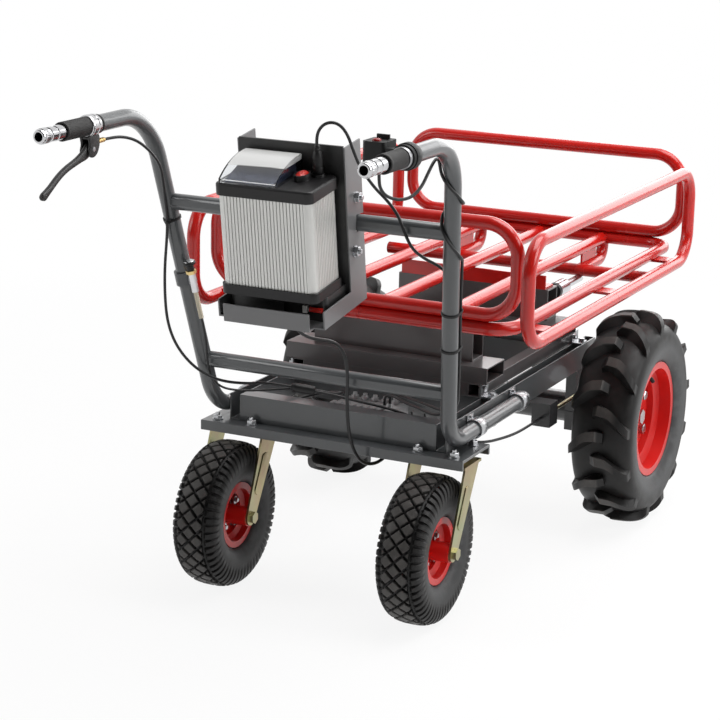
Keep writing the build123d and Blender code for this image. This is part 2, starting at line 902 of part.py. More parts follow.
side_guard_z = floor_z - side_guard_drop
brackets = []
for front in riser_fronts:
    rear = front - upper_riser_length
    half_width = upper_riser_half_width - angle_inset
    leg_top = upper_riser_top + angle_height - weld_gap
    with BuildPart() as angle:
        block((rear, -half_width, upper_riser_top),
              (rear + angle_length, half_width, upper_riser_top + angle_wall))
        block((rear, -half_width, upper_riser_top), (rear + angle_wall, half_width, leg_top))
    brackets.append(angle.part)
for side in sides:
    for distance in tab_places:
        x = back(distance)
        rail = side * floor_half_width
        guard = side * side_guard_offset
        low = floor_z - bed_tube_radius
        cut = bed_tube_radius + weld_gap
        with BuildPart() as tab:
            block((x - tab_width / 2, rail, low), (x + tab_width / 2, guard, low + tab_thickness))
            rod((x - tab_width, rail, floor_z), (x + tab_width, rail, floor_z), cut, mode=Mode.SUBTRACT)
            rod((x - tab_width, guard, side_guard_z), (x + tab_width, guard, side_guard_z), cut,
                mode=Mode.SUBTRACT)
        brackets.append(tab.part)
save_group(brackets, "bed_brackets")

# Bed of bent tube
floor_rear = back(bed_rear_back)
floor_front = back(bed_tube_radius - front_reach)
undertube_x = back(-undertube_ahead)
undertube_z = floor_z - undertube_drop
tube_cut = bed_tube_radius + weld_gap
cut_half = 2.5 * bed_tube_radius
tube_bore = bed_tube_radius - bed_tube_wall
floor_tubes = [guard_loop((floor_rear, -floor_half_width, floor_z), (0, 2 * floor_half_width, 0),
                          (floor_front - floor_rear, 0, 0), floor_corner)]
for y in (-slat_spacing, 0, slat_spacing):
    with BuildPart() as slat:
        rod((floor_rear, y, floor_z), (floor_front, y, floor_z), bed_tube_radius)
        rod((floor_rear, y, floor_z), (floor_front, y, floor_z), tube_bore, mode=Mode.SUBTRACT)
        for x in (floor_rear, floor_front):
            rod((x, y - cut_half, floor_z), (x, y + cut_half, floor_z), tube_cut, mode=Mode.SUBTRACT)
    floor_tubes.append(slat.part)
with BuildPart() as undertube:
    ends = [(undertube_x, way * undertube_half_width, undertube_z) for way in (-1, 1)]
    rod(*ends, bed_tube_radius)
    rod(*ends, tube_bore, mode=Mode.SUBTRACT)
floor_tubes.append(undertube.part)
for y in (-slat_spacing, slat_spacing):
    with BuildPart() as leg:
        corners = [(floor_front, y, floor_z), (floor_front, y, undertube_z), (undertube_x, y, undertube_z)]
        add(bent_tube(corners, 0.7 * undertube_drop, bed_tube_radius, bed_tube_wall))
        for x, z in ((floor_front, floor_z), (undertube_x, undertube_z)):
            rod((x, y - cut_half, z), (x, y + cut_half, z), tube_cut, mode=Mode.SUBTRACT)
    floor_tubes.append(leg.part)
    with BuildPart() as gusset:
        block((undertube_x + gusset_rear_gap, y - gusset_thickness / 2, undertube_z + tube_cut),
              (floor_front - gusset_front_gap, y + gusset_thickness / 2, floor_z - tube_cut))
    floor_tubes.append(gusset.part)
save_group(floor_tubes, "bed_floor")

guard_z = floor_z + 2 * bed_tube_radius + weld_gap
save(guard_loop((floor_rear, -rear_guard_half_width, guard_z), (0, 2 * rear_guard_half_width, 0),
                (0, 0, guard_height), guard_corner), "guard_rear")
save(guard_loop((floor_front, -front_guard_half_width, guard_z), (0, 2 * front_guard_half_width, 0),
                (0, 0, guard_height), guard_corner), "guard_front")
save_pair(guard_loop((back(side_guard_rear_back), side_guard_offset, side_guard_z),
                     (side_guard_rear_back + side_guard_front_ahead, 0, 0),
                     (0, 0, side_guard_height), guard_corner), "guard")

stop_y = -slat_spacing - stop_offset
stop_z = undertube_z - bed_tube_radius - stop_drop
stop_seam = back(-stop_ahead)
sleeve_front = stop_seam + stop_length
with BuildPart() as stop_body:
    rod((stop_seam, stop_y, stop_z), (sleeve_front, stop_y, stop_z), stop_radius)
    rod((sleeve_front, stop_y, stop_z), (undertube_x, stop_y, stop_z), stop_radius / 2)
    rod(*ends, tube_cut, mode=Mode.SUBTRACT)
with BuildPart() as stop_end:
    rod((stop_seam - stop_end_length, stop_y, stop_z), (stop_seam, stop_y, stop_z),
        stop_radius + stop_end_lip)
save_group([stop_body.part, stop_end.part], "bed_stop")


# Handles

def handle_points(side):
    """Corners of a handle tube, from its front end to where it steps down to the grip bar"""
    return [(back(handle_front_back), side * handle_leg_y, handle_leg_z),
            (back(handle_foot_back), side * handle_leg_y, handle_leg_z),
            (back(handle_top_back), side * handle_half_width, grip_height),
            (back(bar_step_back), side * handle_half_width, grip_height)]


def upright_at(z, side=1):
    """Middle of a handle's upright at this height"""
    share = (z - handle_leg_z) / (grip_height - handle_leg_z)
    x = back(handle_foot_back + share * (handle_top_back - handle_foot_back))
    y = side * (handle_leg_y + share * (handle_half_width - handle_leg_y))
    return (x, y, z)


def beside(z, side, forwards, outwards):
    """Place near a handle's upright"""
    x, y, _ = upright_at(z, side)
    return (x + forwards, y + side * outwards, z)


def make_handle():
    with BuildPart() as handle:
        with BuildLine() as path:
            FilletPolyline(*handle_points(1), radius=[handle_foot_bend, handle_top_bend])
        route = path.wires()[0]
        with BuildSketch(Plane(origin=route @ 0, z_dir=route % 0)):
            Circle(handle_radius)
            Circle(handle_radius - handle_wall, mode=Mode.SUBTRACT)
        sweep(path=route)
        step = Plane(origin=handle_points(1)[-1], z_dir=(-1, 0, 0))
        with BuildSketch(step):
            Circle(handle_radius)
            Circle(bar_radius - handle_wall, mode=Mode.SUBTRACT)
        extrude(amount=handle_wall)
        with BuildSketch(step):
            Circle(bar_radius)
            Circle(bar_radius - handle_wall, mode=Mode.SUBTRACT)
        extrude(amount=bar_end_back - bar_step_back)
    return handle.part


save_pair(make_handle(), "handle")

crossbars = []
for z in (lower_crossbar_z, upper_crossbar_z):
    x, reach, _ = upright_at(z)
    with BuildPart() as crossbar:
        with BuildSketch(side_plane(reach)):
            with Locations((x, z)):
                SlotOverall(crossbar_height, crossbar_depth, rotation=90)
                SlotOverall(crossbar_height - 2 * handle_wall, crossbar_depth - 2 * handle_wall, rotation=90,
                            mode=Mode.SUBTRACT)
        extrude(amount=2 * reach)
        for side in sides:
            rod(upright_at(z - 2 * crossbar_height, side), upright_at(z + 2 * crossbar_height, side),
                handle_radius + weld_gap, mode=Mode.SUBTRACT)
    crossbars.append(crossbar.part)
save_group(crossbars, "handle_crossbars")

saddles = []
for side in sides:
    for distance in saddle_places:
        tube_hole = handle_radius + 2 * weld_gap
        with BuildPart() as saddle:
            with BuildSketch(Plane.YZ.offset(back(distance) - saddle_width / 2)):
                with Locations((side * handle_leg_y, handle_leg_z)):
                    Circle(tube_hole + saddle_thickness)
                with Locations((side * (frame_half_width + saddle_thickness / 2), handle_leg_z)):
                    Rectangle(saddle_thickness, rail_height - 2 * saddle_margin)
                with Locations((side * handle_leg_y, handle_leg_z)):
                    Circle(tube_hole, mode=Mode.SUBTRACT)
                with Locations((side * (frame_half_width - rail_height), handle_leg_z)):
                    Rectangle(2 * rail_height, 2 * rail_height, mode=Mode.SUBTRACT)
            extrude(amount=saddle_width)
        saddles.append(saddle.part)
save_group(saddles, "handle_clamps")

# Battery holder, built upright and leaned back with all that it carries
battery_x = back(battery_rear_back - battery_length / 2)
cap_top = battery_base_z + battery_height
lean_axis = Axis((battery_x, 0, cap_top), (0, 1, 0))


def leaned(piece):
    return piece.rotate(lean_axis, -battery_lean)


def leaned_point(x, y, z):
    along = x - battery_x
    up = z - cap_top
    turn = radians(battery_lean)
    return (battery_x + along * cos(turn) - up * sin(turn), y, cap_top + along * sin(turn) + up * cos(turn))


wall = holder_wall
half_width = holder_half_width
flange_rear = back(battery_rear_back - battery_length) + holder_flange_gap
tray_front = back(holder_front_back)
tray_rear = back(tray_wall_back)
lip_rear = back(tray_lip_back)
lip_top = tray_z + tray_lip_height
notch_x = upright_at(upper_crossbar_z)[0] - crossbar_depth / 2 - weld_gap
notch_half = crossbar_height / 2 + weld_gap
with BuildPart() as holder_sheet:
    block((tray_rear, -half_width, tray_z), (tray_front, half_width, tray_z + wall))
    block((lip_rear, -tray_lip_half_width, tray_z), (tray_rear, tray_lip_half_width, tray_z + wall))
    block((lip_rear, -tray_lip_half_width, tray_z), (lip_rear + wall, tray_lip_half_width, lip_top))
    for side in sides:
        block((tray_rear, side * (half_width - wall), tray_z), (tray_front, side * half_width, lip_top))
        block((flange_rear, side * (half_width - wall), tray_z),
              (tray_front, side * half_width, holder_top_z))
with BuildPart() as battery_holder:
    add(leaned(holder_sheet.part))
    block((notch_x, -half_width - wall, upper_crossbar_z - notch_half),
          (tray_front + 2 * crossbar_depth, half_width + wall, upper_crossbar_z + notch_half),
          mode=Mode.SUBTRACT)
save(battery_holder.part, "battery_holder")

cradle_rear = back(cradle_rear_back)
cradle_base = tray_z + wall
cradle_right = -cradle_half_width
connector_z = (cradle_base + battery_base_z) / 2
with BuildPart() as back_plate:
    plate_half = half_width - wall - weld_gap
    block((flange_rear, -plate_half, cradle_base),
          (flange_rear + back_plate_thickness, plate_half, holder_top_z + back_plate_rise))
with BuildPart() as cradle:
    block((cradle_rear, cradle_right, cradle_base),
          (flange_rear - weld_gap, cradle_half_width, battery_base_z))
    fillet(cradle.edges().filter_by(Axis.Z).sort_by(Axis.X)[:2], cradle_corner)
with BuildPart() as plug_contact:
    contact_x = cradle_rear - contact_radius
    rod((contact_x, cradle_right + contact_start, connector_z),
        (contact_x, cradle_right + contact_end, connector_z), contact_radius)
with BuildPart() as side_contact:
    contact_rear = cradle_rear - side_contact_proud
    block((contact_rear, cradle_right + side_contact_start, connector_z - side_contact_half),
          (cradle_rear, cradle_right + side_contact_end, connector_z + side_contact_half))
with BuildPart() as latch:
    block((contact_rear, -latch_right, connector_z - latch_half),
          (cradle_rear, latch_left, connector_z + latch_half))
cradle_pieces = (back_plate, cradle, plug_contact, side_contact, latch)
save_group([leaned(piece.part) for piece in cradle_pieces], "battery_cradle")

# Battery
case_low = battery_base_z + cap_height_bottom
case_high = cap_top - cap_height_top
case_length = battery_length - 2 * cap_overhang
case_width = battery_width - 2 * cap_overhang
skin = 2 * (case_wall + rib_depth)
cell_trim = skin + 2 * cell_slack
with BuildPart() as battery_case:
    with BuildSketch(Plane.XY.offset(case_low)):
        with Locations((battery_x, 0)):
            RectangleRounded(case_length, case_width, case_corner)
            RectangleRounded(case_length - skin, case_width - skin, case_bore_corner, mode=Mode.SUBTRACT)
        for way in (-1, 1):
            with Locations((battery_x, way * case_width / 2)):
                with GridLocations(rib_pitch, 1, int((case_length - 2 * rib_margin) / rib_pitch), 1):
                    Rectangle(rib_pitch / 2, 2 * rib_depth, mode=Mode.SUBTRACT)
            with Locations((battery_x + way * case_length / 2, 0)):
                with GridLocations(1, rib_pitch, 1, int((case_width - 2 * rib_margin) / rib_pitch)):
                    Rectangle(2 * rib_depth, rib_pitch / 2, mode=Mode.SUBTRACT)
    extrude(amount=case_high - case_low)
save(leaned(battery_case.part), "battery_case")

with BuildPart() as battery_cells:
    with BuildSketch(Plane.XY.offset(case_low)):
        with Locations((battery_x, 0)):
            RectangleRounded(case_length - cell_trim, case_width - cell_trim, cell_corner)
    extrude(amount=case_high - case_low - cell_slack)
save(leaned(battery_cells.part), "battery_cells")

rocker_x = battery_x + 0.12 * battery_length
rocker_y = -0.24 * battery_width
plug_x = battery_x + 0.35 * battery_length
plug_y = -0.335 * battery_width
bezel_top = cap_top + bezel_rise
socket_top = cap_top + socket_rise
bezel_length = rocker_length / 2 + bezel_wall
bezel_width = rocker_width / 2 + bezel_wall
with BuildPart() as bottom_cap:
    with BuildSketch(Plane.XY.offset(battery_base_z)):
        with Locations((battery_x, 0)):
            RectangleRounded(battery_length, battery_width, cap_corner)
    extrude(amount=cap_height_bottom)
with BuildPart() as top_cap:
    with BuildSketch(Plane.XY.offset(case_high)):
        with Locations((battery_x, 0)):
            RectangleRounded(battery_length, battery_width, cap_corner)
    extrude(amount=cap_height_top)
    fillet(top_cap.faces().sort_by(Axis.Z)[-1].edges(), cap_fillet)
    with BuildSketch(Plane.XY.offset(cap_top)):
        with Locations((rocker_x, rocker_y)):
            Ellipse(bezel_length, bezel_width)
        with Locations((plug_x, plug_y)):
            Circle(plug_radius + socket_wall)
    extrude(amount=socket_rise)
    with BuildSketch(Plane.XY.offset(socket_top)):
        with Locations((rocker_x, rocker_y)):
            Ellipse(bezel_length, bezel_width)
    extrude(amount=bezel_top - socket_top)
    with BuildSketch(Plane.XY.offset(cap_top + bezel_floor)):
        with Locations((rocker_x, rocker_y)):
            Ellipse(rocker_length / 2 + bezel_gap_along, rocker_width / 2 + bezel_gap_across)
    extrude(amount=bezel_top, mode=Mode.SUBTRACT)
cover_rear = battery_x - battery_length / 2 + cover_rear_inset
cover_front = battery_x + battery_length / 2 - cover_front_inset
cover_base = cap_top + running_clearance


def cover_outline(inset):
    """Side outline of the clear cover, or of its hollow when inset"""
    rear = cover_rear + inset
    front = cover_front - inset
    low = cover_base + cover_rear_height - inset
    high = cover_base + cover_front_height - inset
    with BuildLine() as outline:
        Line((rear, cover_base), (rear, low))
        ThreePointArc((rear, low), (rear + 0.34 * (front - rear), low + 0.66 * (high - low)),
                      (rear + 0.8 * (front - rear), high))
        Line((rear + 0.8 * (front - rear), high), (front, high))
        Line((front, high), (front, cover_base))
        Line((front, cover_base), (rear, cover_base))
    return outline.line


with BuildPart() as panel:
    panel_rear = cover_rear + panel_rear_inset
    panel_front = cover_front - panel_front_inset
    panel_top = cap_top + 0.7 * cover_front_height
    with BuildSketch(side_plane(cover_side_y - panel_inset)):
        with BuildLine():
            Polyline((panel_rear, cap_top), (panel_rear, cap_top + panel_rear_height),
                     (panel_front - panel_top_length, panel_top), (panel_front, panel_top),
                     (panel_front, cap_top), close=True)
        make_face()
    extrude(amount=cover_width - 2 * panel_inset)
save_group([leaned(piece.part) for piece in (bottom_cap, top_cap, panel)], "battery_caps")

with BuildPart() as battery_cover:
    with BuildSketch(side_plane(cover_side_y)):
        add(cover_outline(0))
        make_face()
    extrude(amount=cover_width)
    with BuildSketch(side_plane(cover_side_y - cover_wall)):
        add(cover_outline(cover_wall))
        make_face()
    extrude(amount=cover_width - 2 * cover_wall, mode=Mode.SUBTRACT)
save(leaned(battery_cover.part), "battery_cover")

with BuildPart() as battery_rocker:
    with BuildSketch(Plane.XY.offset(cap_top + rocker_seat)):
        with Locations((rocker_x, rocker_y)):
            Ellipse(rocker_length / 2, rocker_width / 2)
    extrude(amount=bezel_rise)
    fillet(battery_rocker.faces().sort_by(Axis.Z)[-1].edges(), rocker_fillet)
save(leaned(battery_rocker.part), "battery_rocker")

# Grips and controls
bar_bore = bar_radius + shaft_clearance


def bar_sleeve(start, end, radius, side):
    """Sleeve on the grip bar between two distances behind the axle"""
    y = side * handle_half_width
    front = (back(end), y, grip_height)
    rear = (back(start), y, grip_height)
    with BuildPart() as sleeve:
        rod(rear, front, radius)
        rod((back(min(start, bar_end_back)), y, grip_height), front, bar_bore, mode=Mode.SUBTRACT)
        if start > bar_end_back:
            rod(rear, (back(start - bar_bore_depth), y, grip_height), bar_bore_radius, mode=Mode.SUBTRACT)
    return sleeve.part


save(bar_sleeve(grip_reach, left_end_back, grip_end_radius, 1), "grip_end_left")
save(bar_sleeve(left_end_back, left_grip_back, grip_radius, 1), "grip_left")
save(bar_sleeve(grip_reach, right_end_back, grip_end_radius, -1), "throttle_end")
save(bar_sleeve(right_end_back - running_clearance, right_grip_back, grip_radius, -1), "throttle_grip")

lever_z = grip_height - lever_pivot_drop
lever_back = left_grip_back - lever_pivot_ahead
perch_front = left_grip_back - perch_length
lever_slot = lever_thickness / 2 + running_clearance
clevis_half = lever_slot + perch_cheek
clevis_front = perch_front - clevis_front_wall
nut_front = clevis_front - adjuster_nut_length
adjuster_front = clevis_front - adjuster_length
adjuster_z = lever_z + adjuster_rise
y = handle_half_width
perch_rear_end = (back(left_grip_back), y, grip_height)
perch_front_end = (back(perch_front), y, grip_height)
collar_end = (back(perch_front - collar_length), y, grip_height)
with BuildPart() as lever_perch:
    rod(perch_rear_end, perch_front_end, perch_radius)
    rod(perch_front_end, collar_end, 0.88 * perch_radius)
    block((back(left_grip_back), y - clevis_half, lever_z - clevis_drop),
          (back(clevis_front), y + clevis_half, grip_height - perch_radius + clevis_lap))
    block((back(left_grip_back) - lever_thickness, y - lever_slot, lever_z - clevis_slot_half),
          (back(perch_front + clevis_front_wall), y + lever_slot, lever_z + clevis_slot_half),
          mode=Mode.SUBTRACT)
    rod((back(lever_back), y - clevis_half, lever_z), (back(lever_back), y + clevis_half, lever_z),
        lever_pivot_radius)
    rod(perch_rear_end, collar_end, bar_bore, mode=Mode.SUBTRACT)
with BuildPart() as adjuster:
    rod((back(clevis_front), y, adjuster_z), (back(nut_front), y, adjuster_z), adjuster_nut_radius)
    rod((back(nut_front), y, adjuster_z), (back(adjuster_front), y, adjuster_z), adjuster_radius)
save_group([lever_perch.part, adjuster.part], "lever_perch")

pivot = (back(lever_back), lever_z)
tip = (back(grip_reach - 10), lever_z - 58)
with BuildPart() as brake_lever:
    with BuildSketch(side_plane(y + lever_thickness / 2)):
        with BuildLine():
            Spline(pivot, (back(lever_back + 12), lever_z - 9), (back(lever_back + 43), lever_z - 16.5),
                   (back(lever_back + 78), lever_z - 28), (back(lever_back + 107), lever_z - 45), tip)
        trace(line_width=lever_depth)
        with Locations(pivot):
            Circle(lever_eye_radius)
        with Locations(tip):
            Circle(0.7 * lever_depth)
        with Locations(pivot):
            Circle(lever_pivot_radius + shaft_clearance, mode=Mode.SUBTRACT)
    extrude(amount=lever_thickness)
save(brake_lever.part, "brake_lever")

y = -handle_half_width
housing_rear = right_grip_back - running_clearance
housing_front = housing_rear - throttle_length
pod_x = back(pod_back)
pod_y = y + pod_inset
pod_low = grip_height - 0.6 * pod_height
pod_high = pod_low + pod_height
button_x = pod_x - 0.24 * pod_length
toggle_x = pod_x + 0.28 * pod_length
toggle_z = pod_high - toggle_depth
toggle_half = toggle_length / 2
toggle_floor = toggle_z - toggle_barrel_radius - running_clearance
housing_steps = ((0, 0.22, 0.8), (0.22, 0.42, 0.92), (0.42, 0.78, 1), (0.78, 1, 0.82))
with BuildPart() as throttle_housing:
    for share_start, share_end, size in housing_steps:
        rod((back(housing_rear - share_start * throttle_length), y, grip_height),
            (back(housing_rear - share_end * throttle_length), y, grip_height), size * throttle_radius)
    with Locations((pod_x, pod_y, (pod_low + pod_high) / 2)):
        Box(pod_length, pod_width, pod_height)
    fillet(throttle_housing.edges().filter_by(Axis.Z), pod_corner)
    block((back(housing_front + pod_arm_length), y + pod_arm_start, grip_height - pod_arm_half),
          (back(housing_front), pod_y, grip_height + pod_arm_half))
    rod((back(housing_rear), y, grip_height), (back(housing_front), y, grip_height), bar_bore,
        mode=Mode.SUBTRACT)
    rod((button_x, pod_y, pod_high - button_socket), (button_x, pod_y, pod_high),
        button_radius + running_clearance, mode=Mode.SUBTRACT)
    block((toggle_x - toggle_slot / 2, pod_y - toggle_half - running_clearance, toggle_floor),
          (toggle_x + toggle_slot / 2, pod_y + toggle_half + running_clearance, pod_high), mode=Mode.SUBTRACT)
save(throttle_housing.part, "throttle_housing")

with BuildPart() as horn_button:
    rod((button_x, pod_y, pod_high - button_seat), (button_x, pod_y, pod_high + button_rise), button_radius)
    fillet(horn_button.faces().sort_by(Axis.Z)[-1].edges(), button_fillet)
save(horn_button.part, "horn_button")

with BuildPart() as direction_switch:
    rod((toggle_x, pod_y - toggle_half, toggle_z), (toggle_x, pod_y + toggle_half, toggle_z),
        toggle_barrel_radius)
    block((toggle_x - toggle_paddle / 2, pod_y - toggle_half, toggle_z),
          (toggle_x + toggle_paddle / 2, pod_y + toggle_half, pod_high + toggle_proud))
save(direction_switch.part, "direction_switch")

# Shift pull on the left upright
upright_way = (Vector(*upright_at(grip_height)) - Vector(*upright_at(handle_leg_z))).normalized()
shift_middle = Vector(*upright_at(shift_height))
shift_side = Vector(-18, -26, 0)
shift_side = (shift_side - upright_way * shift_side.dot(upright_way)).normalized()
shift_axis = shift_middle + shift_side * shift_offset


def along_shift(distance):
    return shift_axis + upright_way * distance


shift_nut_top = shift_body_high + shift_nut_height
with BuildPart() as shift_bracket:
    clamp_low = shift_middle - upright_way * shift_clamp_half
    clamp_high = shift_middle + upright_way * shift_clamp_half
    rod(clamp_low, clamp_high, handle_radius + shift_clamp_wall)
    arm_middle = shift_middle + shift_side * shift_arm_middle
    with Locations(Plane(origin=arm_middle, x_dir=shift_side, z_dir=upright_way).location):
        Box(*shift_arm_size)
    rod(clamp_low - upright_way * shift_clamp_half, clamp_high + upright_way * shift_clamp_half,
        handle_radius + weld_gap, mode=Mode.SUBTRACT)
    rod(along_shift(shift_body_low), along_shift(shift_body_high), shift_body_radius)
    rod(along_shift(shift_ferrule_low), along_shift(shift_body_low), shift_body_radius - shift_ferrule_wall)
    with BuildSketch(Plane(origin=along_shift(shift_body_high), z_dir=upright_way)):
        RegularPolygon(shift_body_radius + shift_nut_lip, 6)
    extrude(amount=shift_nut_height)
    rod(along_shift(shift_stem_low - shift_stem_slack), along_shift(shift_nut_top),
        shift_stem_radius + shaft_clearance, mode=Mode.SUBTRACT)
save(shift_bracket.part, "shift_bracket")

with BuildPart() as shift_knob:
    rod(along_shift(shift_stem_low), along_shift(shift_knob_low + shift_knob_lap), shift_stem_radius)
    rod(along_shift(shift_knob_low), along_shift(shift_knob_high), shift_knob_radius)
    fillet(shift_knob.edges().filter_by(GeomType.CIRCLE).sort_by(Axis.Z)[-1], shift_knob_fillet)
save(shift_knob.part, "shift_knob")

# Drive unit
plate_in = -hub_flange_thickness / 2 - drum_depth - drum_plate_gap - backplate_thickness
tube_end = drive_track / 2 + plate_in
shaft_inner = gear_case_width / 2 + half_shaft_gap
motor_x = back(motor_back)
motor_z = axle_z + motor_rise
with BuildPart() as transaxle:
    with BuildSketch(side_plane(gear_case_width / 2)):
        with Locations((axle_x, axle_z)):
            Circle(gear_case_radius)
        with Locations((motor_x, motor_z)):
            Circle(motor_radius)
        make_hull()
    extrude(amount=gear_case_width)
    for side in sides:
        rod((axle_x, 0, axle_z), (axle_x, side * tube_end, axle_z), axle_tube_radius)
        rod((axle_x, side * (tube_end - axle_collar_length), axle_z), (axle_x, side * tube_end, axle_z),
            axle_tube_radius + axle_collar_lip)
        rod((axle_x, side * (shaft_inner - running_clearance), axle_z), (axle_x, side * tube_end, axle_z),
            half_shaft_radius + shaft_clearance, mode=Mode.SUBTRACT)
save(transaxle.part, "transaxle")

motor_start = gear_case_width / 2
with BuildPart() as drive_motor:
    rod((motor_x, motor_start, motor_z), (motor_x, motor_start + motor_length, motor_z),
        motor_radius - motor_fin_depth)
    fin_pitch = motor_length / motor_fin_count
    for number in range(motor_fin_count):
        fin_start = motor_start + number * fin_pitch
        fin_end = fin_start + motor_fin_share * fin_pitch
        rod((motor_x, fin_start, motor_z), (motor_x, fin_end, motor_z), motor_radius)
save(drive_motor.part, "drive_motor")

rod_y = drive_track / 2 - brake_rod_inset
rod_z = axle_z + brake_spindle_rise + brake_arm_length
stop_rear = back(cable_stop_back + cable_stop_length / 2)
stop_front = back(cable_stop_back - cable_stop_length / 2)
mounts = []
for side in sides:
    inner = side * rail_inner
    outer = side * frame_half_width
    half = axle_mount_length / 2
    hole = axle_tube_radius + shaft_clearance
    with BuildPart() as mount:
        block((axle_x - half, inner, axle_z + axle_split_gap), (axle_x + half, outer, plate_top))
        rod((axle_x, inner, axle_z), (axle_x, outer, axle_z), hole, mode=Mode.SUBTRACT)
    with BuildPart() as strap:
        block((axle_x - half, inner, axle_z - axle_tube_radius - axle_strap_thickness),
              (axle_x + half, outer, axle_z - axle_split_gap))
        rod((axle_x, inner, axle_z), (axle_x, outer, axle_z), hole, mode=Mode.SUBTRACT)
    with BuildPart() as cable_stop:
        block((stop_rear, side * (rod_y - cable_stop_half_width), rod_z - cable_stop_drop),
              (stop_front, side * (rod_y + cable_stop_half_width), plate_top))
        block((stop_rear, side * (rail_inner + cable_stop_inset), plate_top - cable_stop_plate),
              (stop_front, side * rod_y, plate_top))
        rod((stop_rear + cable_stop_seat, side * rod_y, rod_z), (stop_front, side * rod_y, rod_z),
            brake_rod_radius + 2 * shaft_clearance, mode=Mode.SUBTRACT)
    mounts.extend([mount.part, strap.part, cable_stop.part])
save_group(mounts, "axle_mounts")

# Drum brakes
spindle_x = back(brake_spindle_back)
spindle_z = axle_z + brake_spindle_rise
plates = []
arms = []
rods = []
for side in sides:
    def across(outwards):
        """Y of a place measured outwards from the middle of the wheel"""
        return side * (drive_track / 2 + outwards)

    plate_face = plate_in + backplate_thickness
    shoe_end = -hub_flange_thickness / 2 - drum_web - shoe_gap
    shoe_radius = drum_radius - drum_wall - shoe_clearance
    arm_out = plate_in - brake_arm_gap
    arm_in = arm_out - brake_arm_thickness
    with BuildPart() as brake_plate:
        shoe_ends = ((axle_x, across(plate_face), axle_z), (axle_x, across(shoe_end), axle_z))
        plate_ends = ((axle_x, across(plate_in), axle_z), (axle_x, across(plate_face), axle_z))
        rod(*shoe_ends, shoe_radius)
        rod(*shoe_ends, shoe_radius - shoe_thickness, mode=Mode.SUBTRACT)
        block((axle_x - shoe_split_half, across(plate_face), axle_z - drum_radius),
              (axle_x + shoe_split_half, across(shoe_end), axle_z + drum_radius), mode=Mode.SUBTRACT)
        rod(*plate_ends, drum_radius + backplate_lip)
        rod(*plate_ends, half_shaft_radius + backplate_hole_gap, mode=Mode.SUBTRACT)
        rod((spindle_x, across(plate_in), spindle_z), (spindle_x, across(plate_face), spindle_z),
            brake_spindle_radius + shaft_clearance, mode=Mode.SUBTRACT)
    plates.append(brake_plate.part)
    with BuildPart() as brake_arm:
        with BuildSketch(side_plane(max(across(arm_in), across(arm_out)))):
            with Locations((spindle_x, spindle_z), (spindle_x, rod_z)):
                Circle(brake_arm_width / 2)
            make_hull()
            with Locations((spindle_x, rod_z)):
                Circle(brake_pin_radius + brake_pin_slack, mode=Mode.SUBTRACT)
        extrude(amount=brake_arm_thickness)
        rod((spindle_x, across(arm_in), spindle_z),
            (spindle_x, across(plate_face + brake_spindle_reach), spindle_z), brake_spindle_radius)
    arms.append(brake_arm.part)
    with BuildPart() as brake_rod:
        rod((stop_rear + cable_stop_seat + brake_rod_gap, side * rod_y, rod_z),
            (spindle_x, side * rod_y, rod_z), brake_rod_radius)
        rod((spindle_x, side * (rod_y - brake_eye_half), rod_z),
            (spindle_x, side * (rod_y + brake_eye_half), rod_z), 1.8 * brake_rod_radius)
        rod((spindle_x, side * rod_y, rod_z), (spindle_x, across(arm_out + running_clearance), rod_z),
            brake_pin_radius)
    rods.append(brake_rod.part)
save_group(plates, "brake_plates")
save_group(arms, "brake_arms")
save_group(rods, "brake_rods")

controller_rear = back(rail_rear_back - beam_depth - controller_gap)
controller_front = controller_rear + controller_length
controller_top = plate_top + controller_height
controller_lid = controller_top - controller_fin_height
fin_pitch = controller_width / controller_fin_count
terminal_pitch = controller_width / (terminal_count + 1)
with BuildPart() as controller:
    block((controller_rear, -controller_width / 2, plate_top),
          (controller_front, controller_width / 2, controller_lid))
    for number in range(controller_fin_count):
        y = (number - (controller_fin_count - 1) / 2) * fin_pitch
        block((controller_rear, y - controller_fin_half, controller_lid),
              (controller_front - terminal_bay, y + controller_fin_half, controller_top))
terminals = []
for number in range(terminal_count):
    y = (number - (terminal_count - 1) / 2) * terminal_pitch
    x = controller_front - terminal_inset
    with BuildPart() as terminal:
        rod((x, y, controller_lid), (x, y, controller_top + terminal_rise), terminal_radius)
        with BuildSketch(Plane(origin=(x, y, controller_top - terminal_nut_sink), z_dir=(0, 0, 1))):
            RegularPolygon(terminal_nut_radius, 6)
        extrude(amount=terminal_nut_height)
    terminals.append(terminal.part)
gland_top = controller_top + gland_rise
cord_gland = (back(566), -46)
control_gland = (back(552), -50)
with BuildPart() as glands:
    for x, y in (cord_gland, control_gland):
        rod((x, y, controller_lid), (x, y, gland_top), gland_radius)
save_group([controller.part, *terminals, *glands.part.solids()], "controller_box")

